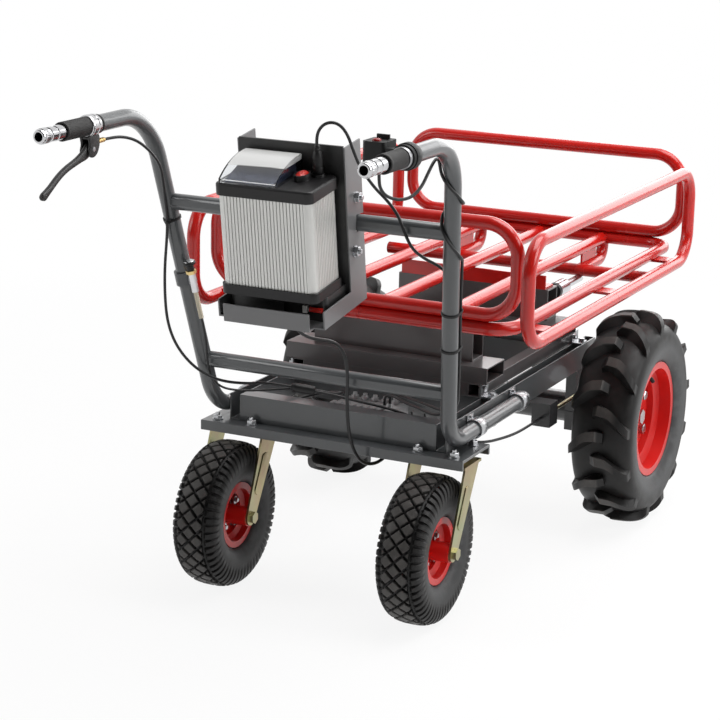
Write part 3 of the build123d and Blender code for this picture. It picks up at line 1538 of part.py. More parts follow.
# Bolts and small zinc angles
bolts = []
clamp_reach = subframe_outer + weld_gap
for side in sides:
    for way_x in (-1, 1):
        for way_y in (-1, 1):
            seat = (back(caster_swivel_back) + way_x * head_bolt_spacing_x / 2,
                    side * caster_track / 2 + way_y * head_bolt_spacing_y / 2, plate_top)
            grip = plate_thickness + head_thickness
            bolts.append(hex_bolt(seat, (0, 0, 1), m8_head_radius, m8_head_height, m8_radius,
                                  grip + m8_tail, grip))
    for distance in saddle_places:
        for z in (plate_top + saddle_bolt_inset, rail_top - saddle_bolt_inset):
            seat = (back(distance), side * (frame_half_width + saddle_thickness), z)
            bolts.append(hex_bolt(seat, (0, side, 0), saddle_bolt_radius, saddle_bolt_height))
    for front in riser_fronts:
        seat = (front - 0.45 * upper_riser_length, side * slat_spacing / 2, upper_riser_top + angle_wall)
        bolts.append(hex_bolt(seat, (0, 0, 1), m8_head_radius, m8_head_height))
    for z in (upper_crossbar_z + holder_bolt_rise, upper_crossbar_z - holder_bolt_drop):
        seat = (notch_x - holder_bolt_back, side * holder_half_width, z)
        bolts.append(hex_bolt(seat, (0, side, 0), m6_head_radius, m6_head_height))
    for distance in clamp_places:
        x = back(distance)
        with BuildPart() as clamp:
            block((x - clamp_half, side * clamp_reach, rail_top),
                  (x + clamp_half, side * (frame_half_width - clamp_side_margin), rail_top + clamp_wall))
            block((x - clamp_half, side * clamp_reach, rail_top),
                  (x + clamp_half, side * (clamp_reach + clamp_wall), subframe_top - clamp_top_margin))
        bolts.append(clamp.part)
        seat = (x - clamp_bolt_offset, side * (clamp_reach + clamp_wall), rail_top + clamp_bolt_rise)
        bolts.append(hex_bolt(seat, (0, side, 0), m6_head_radius, m6_head_height))
        seat = (x + clamp_bolt_offset, side * (frame_half_width - clamp_bolt_inset), rail_top + clamp_wall)
        bolts.append(hex_bolt(seat, (0, 0, 1), m6_head_radius, m6_head_height))
save_group(bolts, "frame_bolts")

# Cables
lower_bar_x = upright_at(lower_crossbar_z)[0]
lower_bar_z = lower_crossbar_z
splitter_start = Vector(lower_bar_x + 21, 72, lower_bar_z - 35)
splitter_end = Vector(lower_bar_x + 37, 34, lower_bar_z - 41)
splitter_way = (splitter_end - splitter_start).normalized()
outlet = Vector(-splitter_way.Y, splitter_way.X, 0).normalized() * splitter_outlet
brake_run = [
    (back(adjuster_front), handle_half_width, adjuster_z),
    (back(perch_front - 48), handle_half_width, adjuster_z),
    (back(perch_front - 72), handle_half_width - 8, adjuster_z),
    (back(perch_front - 101), handle_half_width - 18, adjuster_z - 9),
    (back(perch_front - 132), handle_half_width - 24, adjuster_z - 30),
    (back(perch_front - 163), handle_half_width - 26, adjuster_z - 59),
    beside(upper_crossbar_z + 34, 1, -25, -14),
    beside(upper_crossbar_z + 4, 1, -20, -7),
    beside(upper_crossbar_z - 26, 1, -19, -3),
    beside(upper_crossbar_z - 62, 1, -22, 5),
    beside(upper_crossbar_z - 113, 1, -31, 17),
    beside(upper_crossbar_z - 163, 1, -37, 26),
    beside(lower_bar_z + 79, 1, -41, 31),
    beside(lower_bar_z + 44, 1, -39, 30),
    beside(lower_bar_z + 17, 1, -35, 23),
    beside(lower_bar_z - 5, 1, -32, 9),
    beside(lower_bar_z - 21, 1, -30, -12),
    (lower_bar_x - 20, 190, lower_bar_z - 31),
    (lower_bar_x - 10, 150, lower_bar_z - 33),
    splitter_start - splitter_way * 38,
    splitter_start,
]
right_brake_run = [
    splitter_end - outlet,
    splitter_end - outlet + splitter_way * 26,
    (back(653), -31, rail_top + 17),
    (back(634), -72, rail_top + 8),
    (back(610), -109, rail_top - 7),
    (back(588), -140, plate_top + 23),
    (back(566), -167, plate_top),
    (back(540), -193, plate_top - 14),
    (back(505), -216, rod_z + 7),
    (back(460), -rod_y + 10, rod_z + 3),
    (back(410), -rod_y + 2, rod_z + 0.6),
    (back(350), -rod_y, rod_z),
    (stop_rear, -rod_y, rod_z),
]
left_brake_run = [
    splitter_end + outlet,
    splitter_end + outlet + splitter_way * 16,
    (back(660), 8, rail_top + 26),
    (back(645), 2, rail_top + 23),
    (back(629), 5, rail_top + 20),
    (back(617), 15, rail_top + 17),
    (back(609), 32, rail_top + 13),
    (back(604), 57, rail_top + 7),
    (back(598), 88, rail_top - 4),
    (back(588), 121, plate_top + 29),
    (back(571), 154, plate_top + 10),
    (back(550), 183, plate_top - 7),
    (back(522), 205, plate_top - 18),
    (back(484), 223, rod_z + 5),
    (back(438), rod_y - 7, rod_z + 2),
    (back(392), rod_y - 1.5, rod_z + 0.4),
    (back(340), rod_y, rod_z),
    (stop_rear, rod_y, rod_z),
]
with BuildPart() as splitter:
    rod(splitter_start, splitter_end, splitter_radius)
save_group([cable(brake_run, brake_cable_radius), cable(right_brake_run, brake_cable_radius),
            cable(left_brake_run, brake_cable_radius), splitter.part], "brake_cable")

main_run = [
    leaned_point(back(900), -20, tray_z),
    leaned_point(back(900), -20, tray_z - 15),
    leaned_point(back(892), -24, tray_z - 31),
    (back(836), -33, tray_z - 39),
    (back(814), -43, tray_z - 46),
    (back(792), -51, tray_z - 52),
    (lower_bar_x - 54, -57, lower_bar_z + 71),
    (lower_bar_x - 34, -58, lower_bar_z + 48),
    (lower_bar_x - 25, -58.5, lower_bar_z + 14),
    (lower_bar_x - 23, -57, lower_bar_z - 23),
    (lower_bar_x - 22, -58, lower_bar_z - 62),
    (back(731), -60, plate_top + 20),
    (back(719), -65, plate_top - 10),
    (back(702), -73, plate_top - 29),
    (back(680), -83, plate_top - 34),
    (back(659), -90, plate_top - 29),
    (back(649), -93, plate_top - plate_thickness - 14),
    (back(649), -93, plate_top - plate_thickness),
]
save(cable(main_run, main_cable_radius), "main_cable")

plug_top = socket_top + plug_height
with BuildPart() as plug:
    rod((plug_x, plug_y, socket_top), (plug_x, plug_y, plug_top - plug_tail), plug_radius)
    rod((plug_x, plug_y, plug_top - plug_tail), (plug_x, plug_y, plug_top), 0.6 * plug_radius)
cord_run = [
    leaned_point(plug_x, plug_y, plug_top),
    leaned_point(plug_x, plug_y, plug_top + 15),
    leaned_point(plug_x + 2, plug_y - 8, plug_top + 31),
    leaned_point(plug_x + 7, plug_y - 21, plug_top + 38),
    leaned_point(plug_x + 13, plug_y - 35, plug_top + 34),
    leaned_point(plug_x + 18, -holder_half_width - 7, plug_top + 18),
    leaned_point(plug_x + 23, -holder_half_width - 13, plug_top - 8),
    leaned_point(plug_x + 31, -holder_half_width - 19, plug_top - 38),
    (back(818), -134, upper_crossbar_z + 67),
    (back(810), -156, upper_crossbar_z + 45),
    (notch_x - 7, -175, upper_crossbar_z + 22),
    (notch_x - 9, -188, upper_crossbar_z - 6),
    (notch_x - 3, -199, upper_crossbar_z - 31),
    beside(upper_crossbar_z - 48, -1, -11, -41),
    beside(upper_crossbar_z - 60, -1, 4, -24),
    beside(upper_crossbar_z - 76, -1, 16, -13),
    beside(upper_crossbar_z - 106, -1, 20, -4),
    beside(upper_crossbar_z - 152, -1, 20, -2),
    beside(upper_crossbar_z - 202, -1, 19.6, -2),
    beside(lower_bar_z + 42, -1, 20, -2.5),
    beside(lower_bar_z + 6, -1, 21, -3),
    (back(688), -222, rail_top + 44),
    (back(673), -204, rail_top + 22),
    (back(652), -174, rail_top + 13),
    (back(628), -140, rail_top + 13),
    (back(604), -106, rail_top + 10),
    (back(583), -74, rail_top + 13),
    (back(571), -55, rail_top + 11),
    (*cord_gland, gland_top + 13),
    (*cord_gland, gland_top),
]
save_group([leaned(plug.part), cable(cord_run, cord_radius)], "battery_cord")

coil_radius = (handle_radius + control_cable_radius + coil_gap) / cos(radians(coil_step / 2))
coil_start = (bar_step_back - handle_top_back) - handle_top_bend * tan(turn_of_handle / 2) + coil_ahead
coil_half_turn = int(180 / coil_step)
with BuildLine() as right_handle:
    FilletPolyline(*handle_points(-1), radius=[handle_foot_bend, handle_top_bend])
handle_route = right_handle.wires()[0]


def coil_point(travel, wrap):
    """Place beside the right handle, this far from its rear end and turned past its rear face"""
    place = 1 - travel / handle_route.length
    along = handle_route % place
    inwards = (Vector(0, 1, 0) - along * along.Y).normalized()
    rearwards = along.cross(inwards)
    spoke = inwards * cos(radians(wrap)) + rearwards * sin(radians(wrap))
    return handle_route @ place + spoke * coil_radius


coil = []
travel = coil_start
for number in range(coil_count):
    coil.append(coil_point(travel, coil_step * number))
    travel += coil_long_step if number % (2 * coil_half_turn) < coil_half_turn else coil_short_step
control_run = [
    (pod_x, pod_y, pod_low),
    (pod_x, pod_y, pod_low - 15),
    (pod_x + 7, pod_y + 1, pod_low - 32),
    (pod_x + 21, pod_y - 4, pod_low - 46),
    (pod_x + 39, pod_y - 17, pod_low - 53),
    (pod_x + 59, pod_y - 29, pod_low - 50),
    (pod_x + 80, pod_y - 35, pod_low - 37),
    (pod_x + 101, pod_y - 36, pod_low - 18),
    (pod_x + 121, pod_y - 36, pod_low - 3),
    (pod_x + 139, pod_y - 34, pod_low),
    *coil,
    beside(upper_crossbar_z - 76, -1, 15, 12),
    beside(upper_crossbar_z - 110, -1, 16, 11),
    beside(upper_crossbar_z - 154, -1, 16.4, 10.6),
    beside(upper_crossbar_z - 202, -1, 16, 11),
    beside(lower_bar_z + 42, -1, 16.6, 10.4),
    beside(lower_bar_z + 6, -1, 19, 9),
    (back(680), -235, rail_top + 46),
    (back(664), -214, rail_top + 27),
    (back(642), -182, rail_top + 20),
    (back(618), -146, rail_top + 19),
    (back(594), -110, rail_top + 16),
    (back(571), -77, rail_top + 15),
    (back(557), -58, rail_top + 12),
    (*control_gland, gland_top + 13),
    (*control_gland, gland_top),
]
save(cable(control_run, control_cable_radius), "control_cable")

shift_out = Vector(-cos(radians(shift_entry_angle)), 0, sin(radians(shift_entry_angle)))
shift_end = Vector(motor_x, shift_entry_y, motor_z) + shift_out * motor_radius
shift_run = [
    along_shift(shift_ferrule_low),
    along_shift(shift_ferrule_low - 20),
    (lower_bar_x - 27, 214, lower_bar_z + 35),
    (lower_bar_x - 20, 216, lower_bar_z + 5),
    (lower_bar_x - 13, 215, lower_bar_z - 25),
    (lower_bar_x + 3, 204, rail_top + 24),
    (back(690), 188, rail_top + 14),
    (back(665), 162, rail_top + 11),
    (back(642), 132, rail_top + 12),
    (back(618), 110, rail_top + 12),
    (back(592), 99, rail_top + 4),
    (back(568), 94, plate_top + 32),
    (back(547), 91, plate_top + 9),
    (back(522), 88, plate_top - 11),
    (back(488), 83, plate_top - 22),
    (back(444), 77, plate_top - 26),
    (back(396), 70, plate_top - 27),
    (back(342), 61, plate_top - 26.5),
    (back(288), 49, plate_top - 25),
    (back(240), 33, plate_top - 24),
    (back(206), 20, plate_top - 21),
    shift_end + shift_out * 22,
    shift_end,
]
save(cable(shift_run, shift_cable_radius), "shift_cable")

ties = []
for z, side, cords in (
        (upper_crossbar_z - 30, 1, [(brake_run, brake_cable_radius)]),
        (upper_crossbar_z - 140, -1, [(cord_run, cord_radius), (control_run, control_cable_radius)]),
        (upper_crossbar_z - 205, -1, [(cord_run, cord_radius), (control_run, control_cable_radius)])):
    middle = Vector(*upright_at(z, side))
    way = Vector(upright_way.X, side * upright_way.Y, upright_way.Z)
    band = Plane(origin=middle, x_dir=Vector(1, 0, 0) - way * way.X, z_dir=way)
    spots = []
    for run, size in cords:
        route = cable_route(run)
        places = [route @ (number / 2000) - middle for number in range(2001)]
        place = min(places, key=lambda spot: abs(spot.dot(way)) + 0.02 * spot.length)
        spots.append(((place.dot(band.x_dir), place.dot(band.y_dir)), size))
    with BuildPart() as tie:
        for spare, mode in ((tie_thickness + tie_slack, Mode.ADD), (tie_slack, Mode.SUBTRACT)):
            with BuildSketch(band.offset(-tie_width / 2)):
                Circle(handle_radius + spare)
                for spot, size in spots:
                    with Locations(spot):
                        Circle(size + spare)
                make_hull()
            extrude(amount=tie_width, mode=mode)
    ties.append(tie.part)
save_group(ties, "cable_ties")
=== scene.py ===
import json
import math
import bpy
import numpy as np
from mathutils import Matrix, Vector


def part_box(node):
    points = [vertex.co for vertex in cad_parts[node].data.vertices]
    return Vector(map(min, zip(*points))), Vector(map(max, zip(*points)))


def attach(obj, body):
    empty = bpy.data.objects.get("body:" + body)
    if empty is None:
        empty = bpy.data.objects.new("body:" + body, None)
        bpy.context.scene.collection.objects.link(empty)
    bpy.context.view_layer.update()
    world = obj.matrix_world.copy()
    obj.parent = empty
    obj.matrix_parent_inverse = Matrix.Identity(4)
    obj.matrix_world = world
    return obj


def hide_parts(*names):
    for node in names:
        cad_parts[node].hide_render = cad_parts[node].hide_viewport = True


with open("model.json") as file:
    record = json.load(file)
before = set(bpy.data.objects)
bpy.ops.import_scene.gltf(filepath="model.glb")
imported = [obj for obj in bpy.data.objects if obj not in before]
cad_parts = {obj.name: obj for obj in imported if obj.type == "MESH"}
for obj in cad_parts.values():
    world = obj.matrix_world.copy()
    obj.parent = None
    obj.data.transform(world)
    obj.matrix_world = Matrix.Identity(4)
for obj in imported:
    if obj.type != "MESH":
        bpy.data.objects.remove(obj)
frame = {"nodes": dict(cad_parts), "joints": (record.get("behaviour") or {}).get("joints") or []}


class Values(dict):  # the dictionary of a piece; values.key reads values["key"]
    __getattr__ = dict.__getitem__


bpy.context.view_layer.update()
turn = 2 * math.pi
joints = {joint["name"]: np.array(joint["pos_m"]) for joint in frame["joints"] if "pos_m" in joint}
sides = {"left": 1, "right": -1}
lean = Values(pivot=(-0.471, 0.0, 0.776), degrees=8.5)  # the battery and its holder lean back
bar = Values(y=0.277, z=0.852)  # both grip bars run along x at this height
mm = 0.001  # profiles, outlines and routes are written in millimetres
print("frame loaded:", len(frame["nodes"]), "nodes")


# shader maths: a Flow is one socket, and a sum of Flows adds its Math nodes
class Flow:
    def __init__(self, tree, socket):
        self.tree = tree
        self.socket = socket

    def maths(self, operation, other=0.0, swapped=False):
        pair = [other, self] if swapped else [self, other]
        return self.tree.node("Math", {"operation": operation}, dict(enumerate(pair)))

    def __add__(self, other):
        return self.maths("ADD", other)

    def __sub__(self, other):
        return self.maths("SUBTRACT", other)

    def __rsub__(self, other):
        return self.maths("SUBTRACT", other, swapped=True)

    def __mul__(self, other):
        return self.maths("MULTIPLY", other)

    def __gt__(self, other):
        return self.maths("GREATER_THAN", other)

    def __lt__(self, other):
        return self.maths("LESS_THAN", other)

    __radd__ = __add__
    __rmul__ = __mul__


class Nodes:
    def __init__(self, tree):
        self.tree = tree
        tree.nodes.clear()

    def node(self, kind, settings=None, sockets=None, out=0):
        made = self.tree.nodes.new("ShaderNode" + kind)
        for key, value in (settings or {}).items():
            setattr(made, key, value)
        for key, value in (sockets or {}).items():
            self.put(made.inputs[key], value)
        return Flow(self, made.outputs[out])

    def put(self, socket, value):
        if isinstance(value, Flow):
            self.tree.links.new(value.socket, socket)
        else:
            socket.default_value = value

    def ramp(self, flow, low, high):  # 0 below low, 1 above high
        return self.node("MapRange", sockets={"Value": flow, "From Min": low, "From Max": high})

    def along(self, vector, direction):
        return self.node("VectorMath", {"operation": "DOT_PRODUCT"}, {0: vector, 1: direction}, out="Value")

    def seen(self, *rays):
        # 1 for rays of the kinds named, 0 for all others
        path = self.node("LightPath").socket.node
        total = Flow(self, path.outputs[rays[0]])
        for ray in rays[1:]:
            total = total.maths("MAXIMUM", Flow(self, path.outputs[ray]))
        return total


class Look(Nodes):
    def __init__(self, name):
        self.material = bpy.data.materials.new(name)
        self.material.use_nodes = True
        super().__init__(self.material.node_tree)
        self.shader = self.tree.nodes.new("ShaderNodeBsdfPrincipled")
        self.output = self.tree.nodes.new("ShaderNodeOutputMaterial")
        self.tree.links.new(self.shader.outputs[0], self.output.inputs[0])
        self.place = self.node("TexCoord", out="Object")

    def set(self, **sockets):  # BaseColor=... sets Base Color
        for name, value in sockets.items():
            spaced = "".join(" " + letter if letter.isupper() else letter for letter in name).strip()
            self.put(self.shader.inputs[spaced], value if not isinstance(value, tuple) else (*value, 1))

    def fix(self, **sockets):  # constants, by names such as Specular_IOR_Level
        for name, value in sockets.items():
            self.shader.inputs[name.replace("_", " ")].default_value = value

    def noise(self, scale, detail=3, stretch=None):
        where = self.place
        if stretch:
            where = self.node("Mapping", sockets={"Vector": self.place, "Scale": stretch})
        return self.node("TexNoise", sockets={"Vector": where, "Scale": scale, "Detail": detail})

    def patches(self, noise, span):  # soft patches where the noise is high
        return self.ramp(self.noise(*noise), *span)

    def mix(self, first, second, share):
        sockets = {0: share}
        for key, value in ((6, first), (7, second)):
            sockets[key] = value if isinstance(value, Flow) else (*value, 1)
        return self.node("Mix", {"data_type": "RGBA"}, sockets, out=2)

    def axis(self, letter):
        return self.node("SeparateXYZ", sockets={0: self.place}, out="XYZ".index(letter))

    def between(self, letter, low, high):
        return (self.axis(letter) > low) * (self.axis(letter) < high)

    def bump(self, height, depth, strength):
        return self.node("Bump", sockets={"Height": height, "Distance": depth, "Strength": strength})

    def grain(self, noise, bump):  # a fine noise as a bump
        return self.bump(self.noise(*noise), *bump)

    def straighten(self):
        # the place as it would be if the battery stood upright
        angle = math.radians(lean.degrees)
        pivot = Vector(lean.pivot)
        moved = pivot - Matrix.Rotation(angle, 3, "Y") @ pivot
        self.place = self.node("Mapping", sockets={"Vector": self.place, "Rotation": (0, angle, 0),
                                                   "Location": moved})

    def blendShader(self, second, share):
        both = self.node("MixShader", sockets={0: share, 1: Flow(self, self.shader.outputs[0]), 2: second})
        self.tree.links.new(both.socket, self.output.inputs[0])


# finishes: a noise is its scale, detail and stretch, a bump its depth and strength
wear = Values(specks=(260, 2), speckSpan=(0.63, 0.72), speckShare=0.1, scuffs=(24, 5, (1, 1, 0.25)),
    scuffSpan=(0.58, 0.78), scuffShare=0.14, scuffRough=0.12, cloudRough=0.1, peel=(420, 1),
    peelBump=(0.0001, 0.3))


def paintedSteel(name, base, deep, worn, cloud, rough, coat, gloss):
    look = Look(name)
    clouds = look.noise(cloud)
    specks = look.patches(wear.specks, wear.speckSpan)
    scuffs = look.patches(wear.scuffs, wear.scuffSpan)
    colour = look.mix(deep, base, clouds)
    colour = look.mix(colour, worn, specks * wear.speckShare + scuffs * wear.scuffShare)
    look.set(BaseColor=colour, Roughness=rough + clouds * wear.cloudRough + scuffs * wear.scuffRough,
             CoatWeight=coat, Normal=look.grain(wear.peel, wear.peelBump))
    look.fix(Coat_Roughness=gloss)
    return look


plating = Values(stain=(38, 4), stainSpan=(0.35, 0.75), stainRough=0.06, bloom=(17, 3), bloomSpan=(0.4, 0.7),
    bloomShare=0.35, streakRough=0.14, grain=(900, 2), bump=(0.00006, 0.3))


def platedSteel(name, low, high, stain, stained, streak, rough, bloom=None):
    look = Look(name)
    streaks = look.noise(streak)
    stains = look.patches(plating.stain, plating.stainSpan)
    blooms = look.patches(plating.bloom, plating.bloomSpan)
    colour = look.mix(low, high, streaks)
    colour = look.mix(colour, stain, stains * stained)
    colour = look.mix(colour, bloom or high, blooms * plating.bloomShare)
    look.set(BaseColor=colour, Metallic=1.0, Normal=look.grain(plating.grain, plating.bump),
             Roughness=rough + streaks * plating.streakRough + stains * plating.stainRough)
    return look


gumSkin = Values(dust=(46, 5), dustSpan=(0.42, 0.8), dustRough=0.16, grain=(1400, 2), bump=(0.00016, 0.45))


def rubber(name, base, dust, dusty, rough, shine, worn=None):
    # dusty black; worn, if there is one, adds more grey: on the tyres, a painted sheen on the tread tops and
    # walls, stronger where dust lies
    look = Look(name)
    dusts = look.patches(gumSkin.dust, gumSkin.dustSpan)
    colour = look.mix(base, dust, dusts * dusty)
    if worn:
        colour = worn(look, colour, dusts)
    look.set(BaseColor=colour, Roughness=rough + dusts * gumSkin.dustRough,
             Normal=look.grain(gumSkin.grain, gumSkin.bump))
    look.fix(Specular_IOR_Level=shine)
    return look


mouldSkin = Values(cloud=30, cloudShare=0.7, cloudRough=0.1, grain=(1900, 1), bump=(0.00008, 0.5),
    shine=0.35)


def mouldedPlastic(name, base, pale, rough):
    look = Look(name)
    clouds = look.noise(mouldSkin.cloud)
    look.set(BaseColor=look.mix(base, pale, clouds * mouldSkin.cloudShare),
             Roughness=rough + clouds * mouldSkin.cloudRough,
             Normal=look.grain(mouldSkin.grain, mouldSkin.bump))
    look.fix(Specular_IOR_Level=mouldSkin.shine)
    return look


redPaint = paintedSteel("red_paint", base=(0.6, 0.014, 0.009), deep=(0.5, 0.009, 0.006),
    worn=(0.7, 0.05, 0.04), cloud=7.0, rough=0.18, coat=0.22, gloss=0.08)
rimPaint = paintedSteel("rim_paint", base=(0.7, 0.014, 0.01), deep=(0.58, 0.009, 0.007),
    worn=(0.72, 0.05, 0.04), cloud=12.0, rough=0.32, coat=0.14, gloss=0.08)
greyPaint = paintedSteel("grey_paint", base=(0.077, 0.082, 0.086), deep=(0.059, 0.063, 0.066),
    worn=(0.15, 0.155, 0.16), cloud=8.0, rough=0.3, coat=0.6, gloss=0.1)
darkPaint = paintedSteel("dark_paint", base=(0.08, 0.076, 0.077), deep=(0.062, 0.058, 0.059),
    worn=(0.11, 0.106, 0.106), cloud=8.0, rough=0.3, coat=0.5, gloss=0.14)
sheetPaint = paintedSteel("sheet_paint", base=(0.16, 0.16, 0.163), deep=(0.13, 0.13, 0.133),
    worn=(0.23, 0.23, 0.235), cloud=11.0, rough=0.34, coat=0.4, gloss=0.16)
blackPaint = paintedSteel("black_paint", base=(0.018, 0.018, 0.019), deep=(0.012, 0.012, 0.013),
    worn=(0.05, 0.05, 0.05), cloud=16.0, rough=0.34, coat=0.4, gloss=0.16)
leverPaint = paintedSteel("lever_paint", base=(0.02, 0.018, 0.018), deep=(0.014, 0.013, 0.013),
    worn=(0.06, 0.057, 0.056), cloud=20.0, rough=0.46, coat=0.06, gloss=0.3)
zinc = platedSteel("zinc", low=(0.36, 0.37, 0.39), high=(0.6, 0.61, 0.63), stain=(0.44, 0.43, 0.39),
    stained=0.3, streak=60, rough=0.2)
yellowZinc = platedSteel("yellow_zinc", low=(0.32, 0.28, 0.12), high=(0.52, 0.48, 0.28),
    stain=(0.44, 0.27, 0.22), stained=0.6, bloom=(0.27, 0.42, 0.28), streak=30, rough=0.24)
brass = platedSteel("brass", low=(0.6, 0.4, 0.14), high=(0.78, 0.58, 0.26), stain=(0.45, 0.3, 0.12),
    stained=0.3, streak=80, rough=0.2)
chrome = platedSteel("chrome", low=(0.46, 0.46, 0.47), high=(0.66, 0.66, 0.67), stain=(0.4, 0.4, 0.41),
    stained=0.2, streak=50, rough=0.08)
castAlloy = platedSteel("cast_alloy", low=(0.4, 0.4, 0.41), high=(0.56, 0.56, 0.57),
    stain=(0.34, 0.33, 0.32), stained=0.4, streak=120, rough=0.36)
gripRubber = rubber("grip_rubber", base=(0.02, 0.019, 0.019), dust=(0.05, 0.048, 0.046), dusty=0.4,
    rough=0.5, shine=0.3)
sheath = rubber("cable_sheath", base=(0.01, 0.01, 0.011), dust=(0.026, 0.026, 0.026), dusty=0.3, rough=0.3,
    shine=0.4)
blackPlastic = mouldedPlastic("black_plastic", base=(0.007, 0.0067, 0.007), pale=(0.013, 0.0126, 0.013),
    rough=0.4)
redLens = mouldedPlastic("red_lens", base=(0.55, 0.016, 0.012), pale=(0.68, 0.05, 0.035), rough=0.14)
hornLens = mouldedPlastic("horn_lens", base=(0.26, 0.008, 0.008), pale=(0.36, 0.02, 0.018), rough=0.2)
print("plain finishes made")


tyreGum = Values(base=(0.0085, 0.008, 0.008), dust=(0.04, 0.037, 0.034), dusty=0.3, rough=0.42, shine=0.3)
# the greyer tread tops and walls are a painted sheen, with a further share where dust lies
treadSheenAndDust = Values(top=(0.088, 0.082, 0.077), topFrom=0.0045, topTo=0.001, topShare=0.6, topDust=0.4,
    wall=(0.112, 0.116, 0.119), wallHalf=0.012, wallShare=0.4, wallDust=0.45)
# from the axle to the tread's top and to the middle of the wall
tyreReach = {"drive": (0.2075, 0.15), "caster": (0.13, 0.082)}


def tyreRubber(kind):
    # greyer on the tops of the tread and on the walls, by the distance from the axle: a painted sheen, with
    # more grey where dust lies
    top, wall = tyreReach[kind]
    axle = joints[kind + "_spin_left"]

    def worn(look, colour, dust):
        x = look.axis("X") - axle[0]
        z = look.axis("Z") - axle[2]
        reach = (x * x + z * z).maths("SQRT")
        tops = look.ramp(reach, top - treadSheenAndDust.topFrom, top - treadSheenAndDust.topTo)
        walls = look.ramp(reach, wall + treadSheenAndDust.wallHalf, wall - treadSheenAndDust.wallHalf)
        # painted sheen: the tops and the walls are greyed, more where dust lies
        colour = look.mix(colour, treadSheenAndDust.top, tops * (treadSheenAndDust.topShare + dust * treadSheenAndDust.topDust))
        return look.mix(colour, treadSheenAndDust.wall, walls * (treadSheenAndDust.wallShare + dust * treadSheenAndDust.wallDust))

    return rubber(kind + "_tyre_rubber", **tyreGum, worn=worn)


tyreLooks = {kind: tyreRubber(kind) for kind in tyreReach}


# battery case, upright: middle, half sizes, corner radius, ribs along x and along y
case = Values(x=-0.471, halfX=0.047, halfY=0.084, corner=0.013, low=0.606, high=0.756, ribsX=12, ribsY=24,
    depth=0.0011, cornerColumns=12)
# alloy skin: drawn lines, and a darker colour in the grooves that is painted shade
alloy = Values(lines=(1.0, 3, (900, 900, 6)), low=(0.6, 0.6, 0.58), high=(0.75, 0.75, 0.725), metal=0.5,
    rough=0.34, lineRough=0.12, bump=(0.00006, 0.35), grooveSpan=(0.0002, 0.0009), dirt=(0.3, 0.298, 0.285),
    dirtShare=0.62, dirtMetal=0.2, dirtRough=0.12)


def brushedCase():  # satin extrusion, drawn lines along its height, and a painted shade in the grooves
    look = Look("battery_alloy")
    look.straighten()
    lines = look.noise(*alloy.lines)
    # how far a spot lies inside the rounded outline
    x = (look.axis("X") - case.x).maths("ABSOLUTE") - (case.halfX - case.corner)
    y = look.axis("Y").maths("ABSOLUTE") - (case.halfY - case.corner)
    x = x.maths("MAXIMUM", 0.0)
    y = y.maths("MAXIMUM", 0.0)
    inside = case.corner - (x * x + y * y).maths("SQRT")
    groove = look.ramp(inside, *alloy.grooveSpan)
    silver = look.mix(alloy.low, alloy.high, lines)
    # painted shade in the grooves: darker, less metallic and rougher
    look.set(BaseColor=look.mix(silver, alloy.dirt, groove * alloy.dirtShare),
             Metallic=alloy.metal - groove * alloy.dirtMetal,
             Roughness=alloy.rough + lines * alloy.lineRough + groove * alloy.dirtRough,
             Normal=look.bump(lines, *alloy.bump))
    return look


cover = Values(tint=(0.97, 0.98, 0.99), haze=24, rough=0.02, hazeRough=0.04, index=1.46,
    sheet=(0.8, 0.8, 0.79, 1), sheetRough=0.22, sheetX=(-0.485, -0.482), bow=0.04, sheetY=(-0.0225, 0.0775),
    sheetZ=0.797, sheetShare=0.82)


def clearCover():  # clear moulding with a pale sheet under the far part of its top
    look = Look("clear_plastic")
    look.straighten()
    haze = look.noise(cover.haze)
    look.set(BaseColor=cover.tint, Roughness=cover.rough + haze * cover.hazeRough)
    look.fix(Transmission_Weight=1.0, IOR=cover.index)
    finish = {"Base Color": cover.sheet, "Roughness": cover.sheetRough}
    sheet = look.node("BsdfPrincipled", sockets=finish)
    edge = look.axis("Y").maths("ABSOLUTE") * cover.bow + look.axis("X")
    under = look.ramp(edge, *cover.sheetX) * look.between("Y", *cover.sheetY)
    look.blendShader(sheet, under * (look.axis("Z") > cover.sheetZ) * cover.sheetShare)
    return look


cap = Values(black=(0.01, 0.0095, 0.01), rough=0.32, grainRough=0.08, panelX=(-0.516, -0.424),
    panelY=(-0.023, 0.079), panelZ=0.7762, navy=(0.026, 0.034, 0.066), pale=(0.075, 0.085, 0.12),
    patch=(60, 2), patchSpan=(0.45, 0.55), patchShare=0.35, rowX=(-0.5, -0.488), rowStep=0.0115,
    rowGap=0.0028, rowShare=0.5)


def capPlastic():  # black end caps, and a navy panel under the clear cover
    look = Look("battery_cap_plastic")
    look.straighten()
    panel = look.between("X", *cap.panelX) * look.between("Y", *cap.panelY)
    panel = panel * (look.axis("Z") > cap.panelZ)
    keys = look.axis("Y").maths("PINGPONG", cap.rowStep) > cap.rowGap
    row = look.between("X", *cap.rowX) * keys
    patch = look.patches(cap.patch, cap.patchSpan)
    navy = look.mix(cap.navy, cap.pale, patch * cap.patchShare + row * cap.rowShare)
    grain = look.noise(*mouldSkin.grain)
    look.set(BaseColor=look.mix(cap.black, navy, panel), Normal=look.bump(grain, *mouldSkin.bump),
             Roughness=cap.rough + grain * cap.grainRough)
    look.fix(Specular_IOR_Level=mouldSkin.shine)
    return look


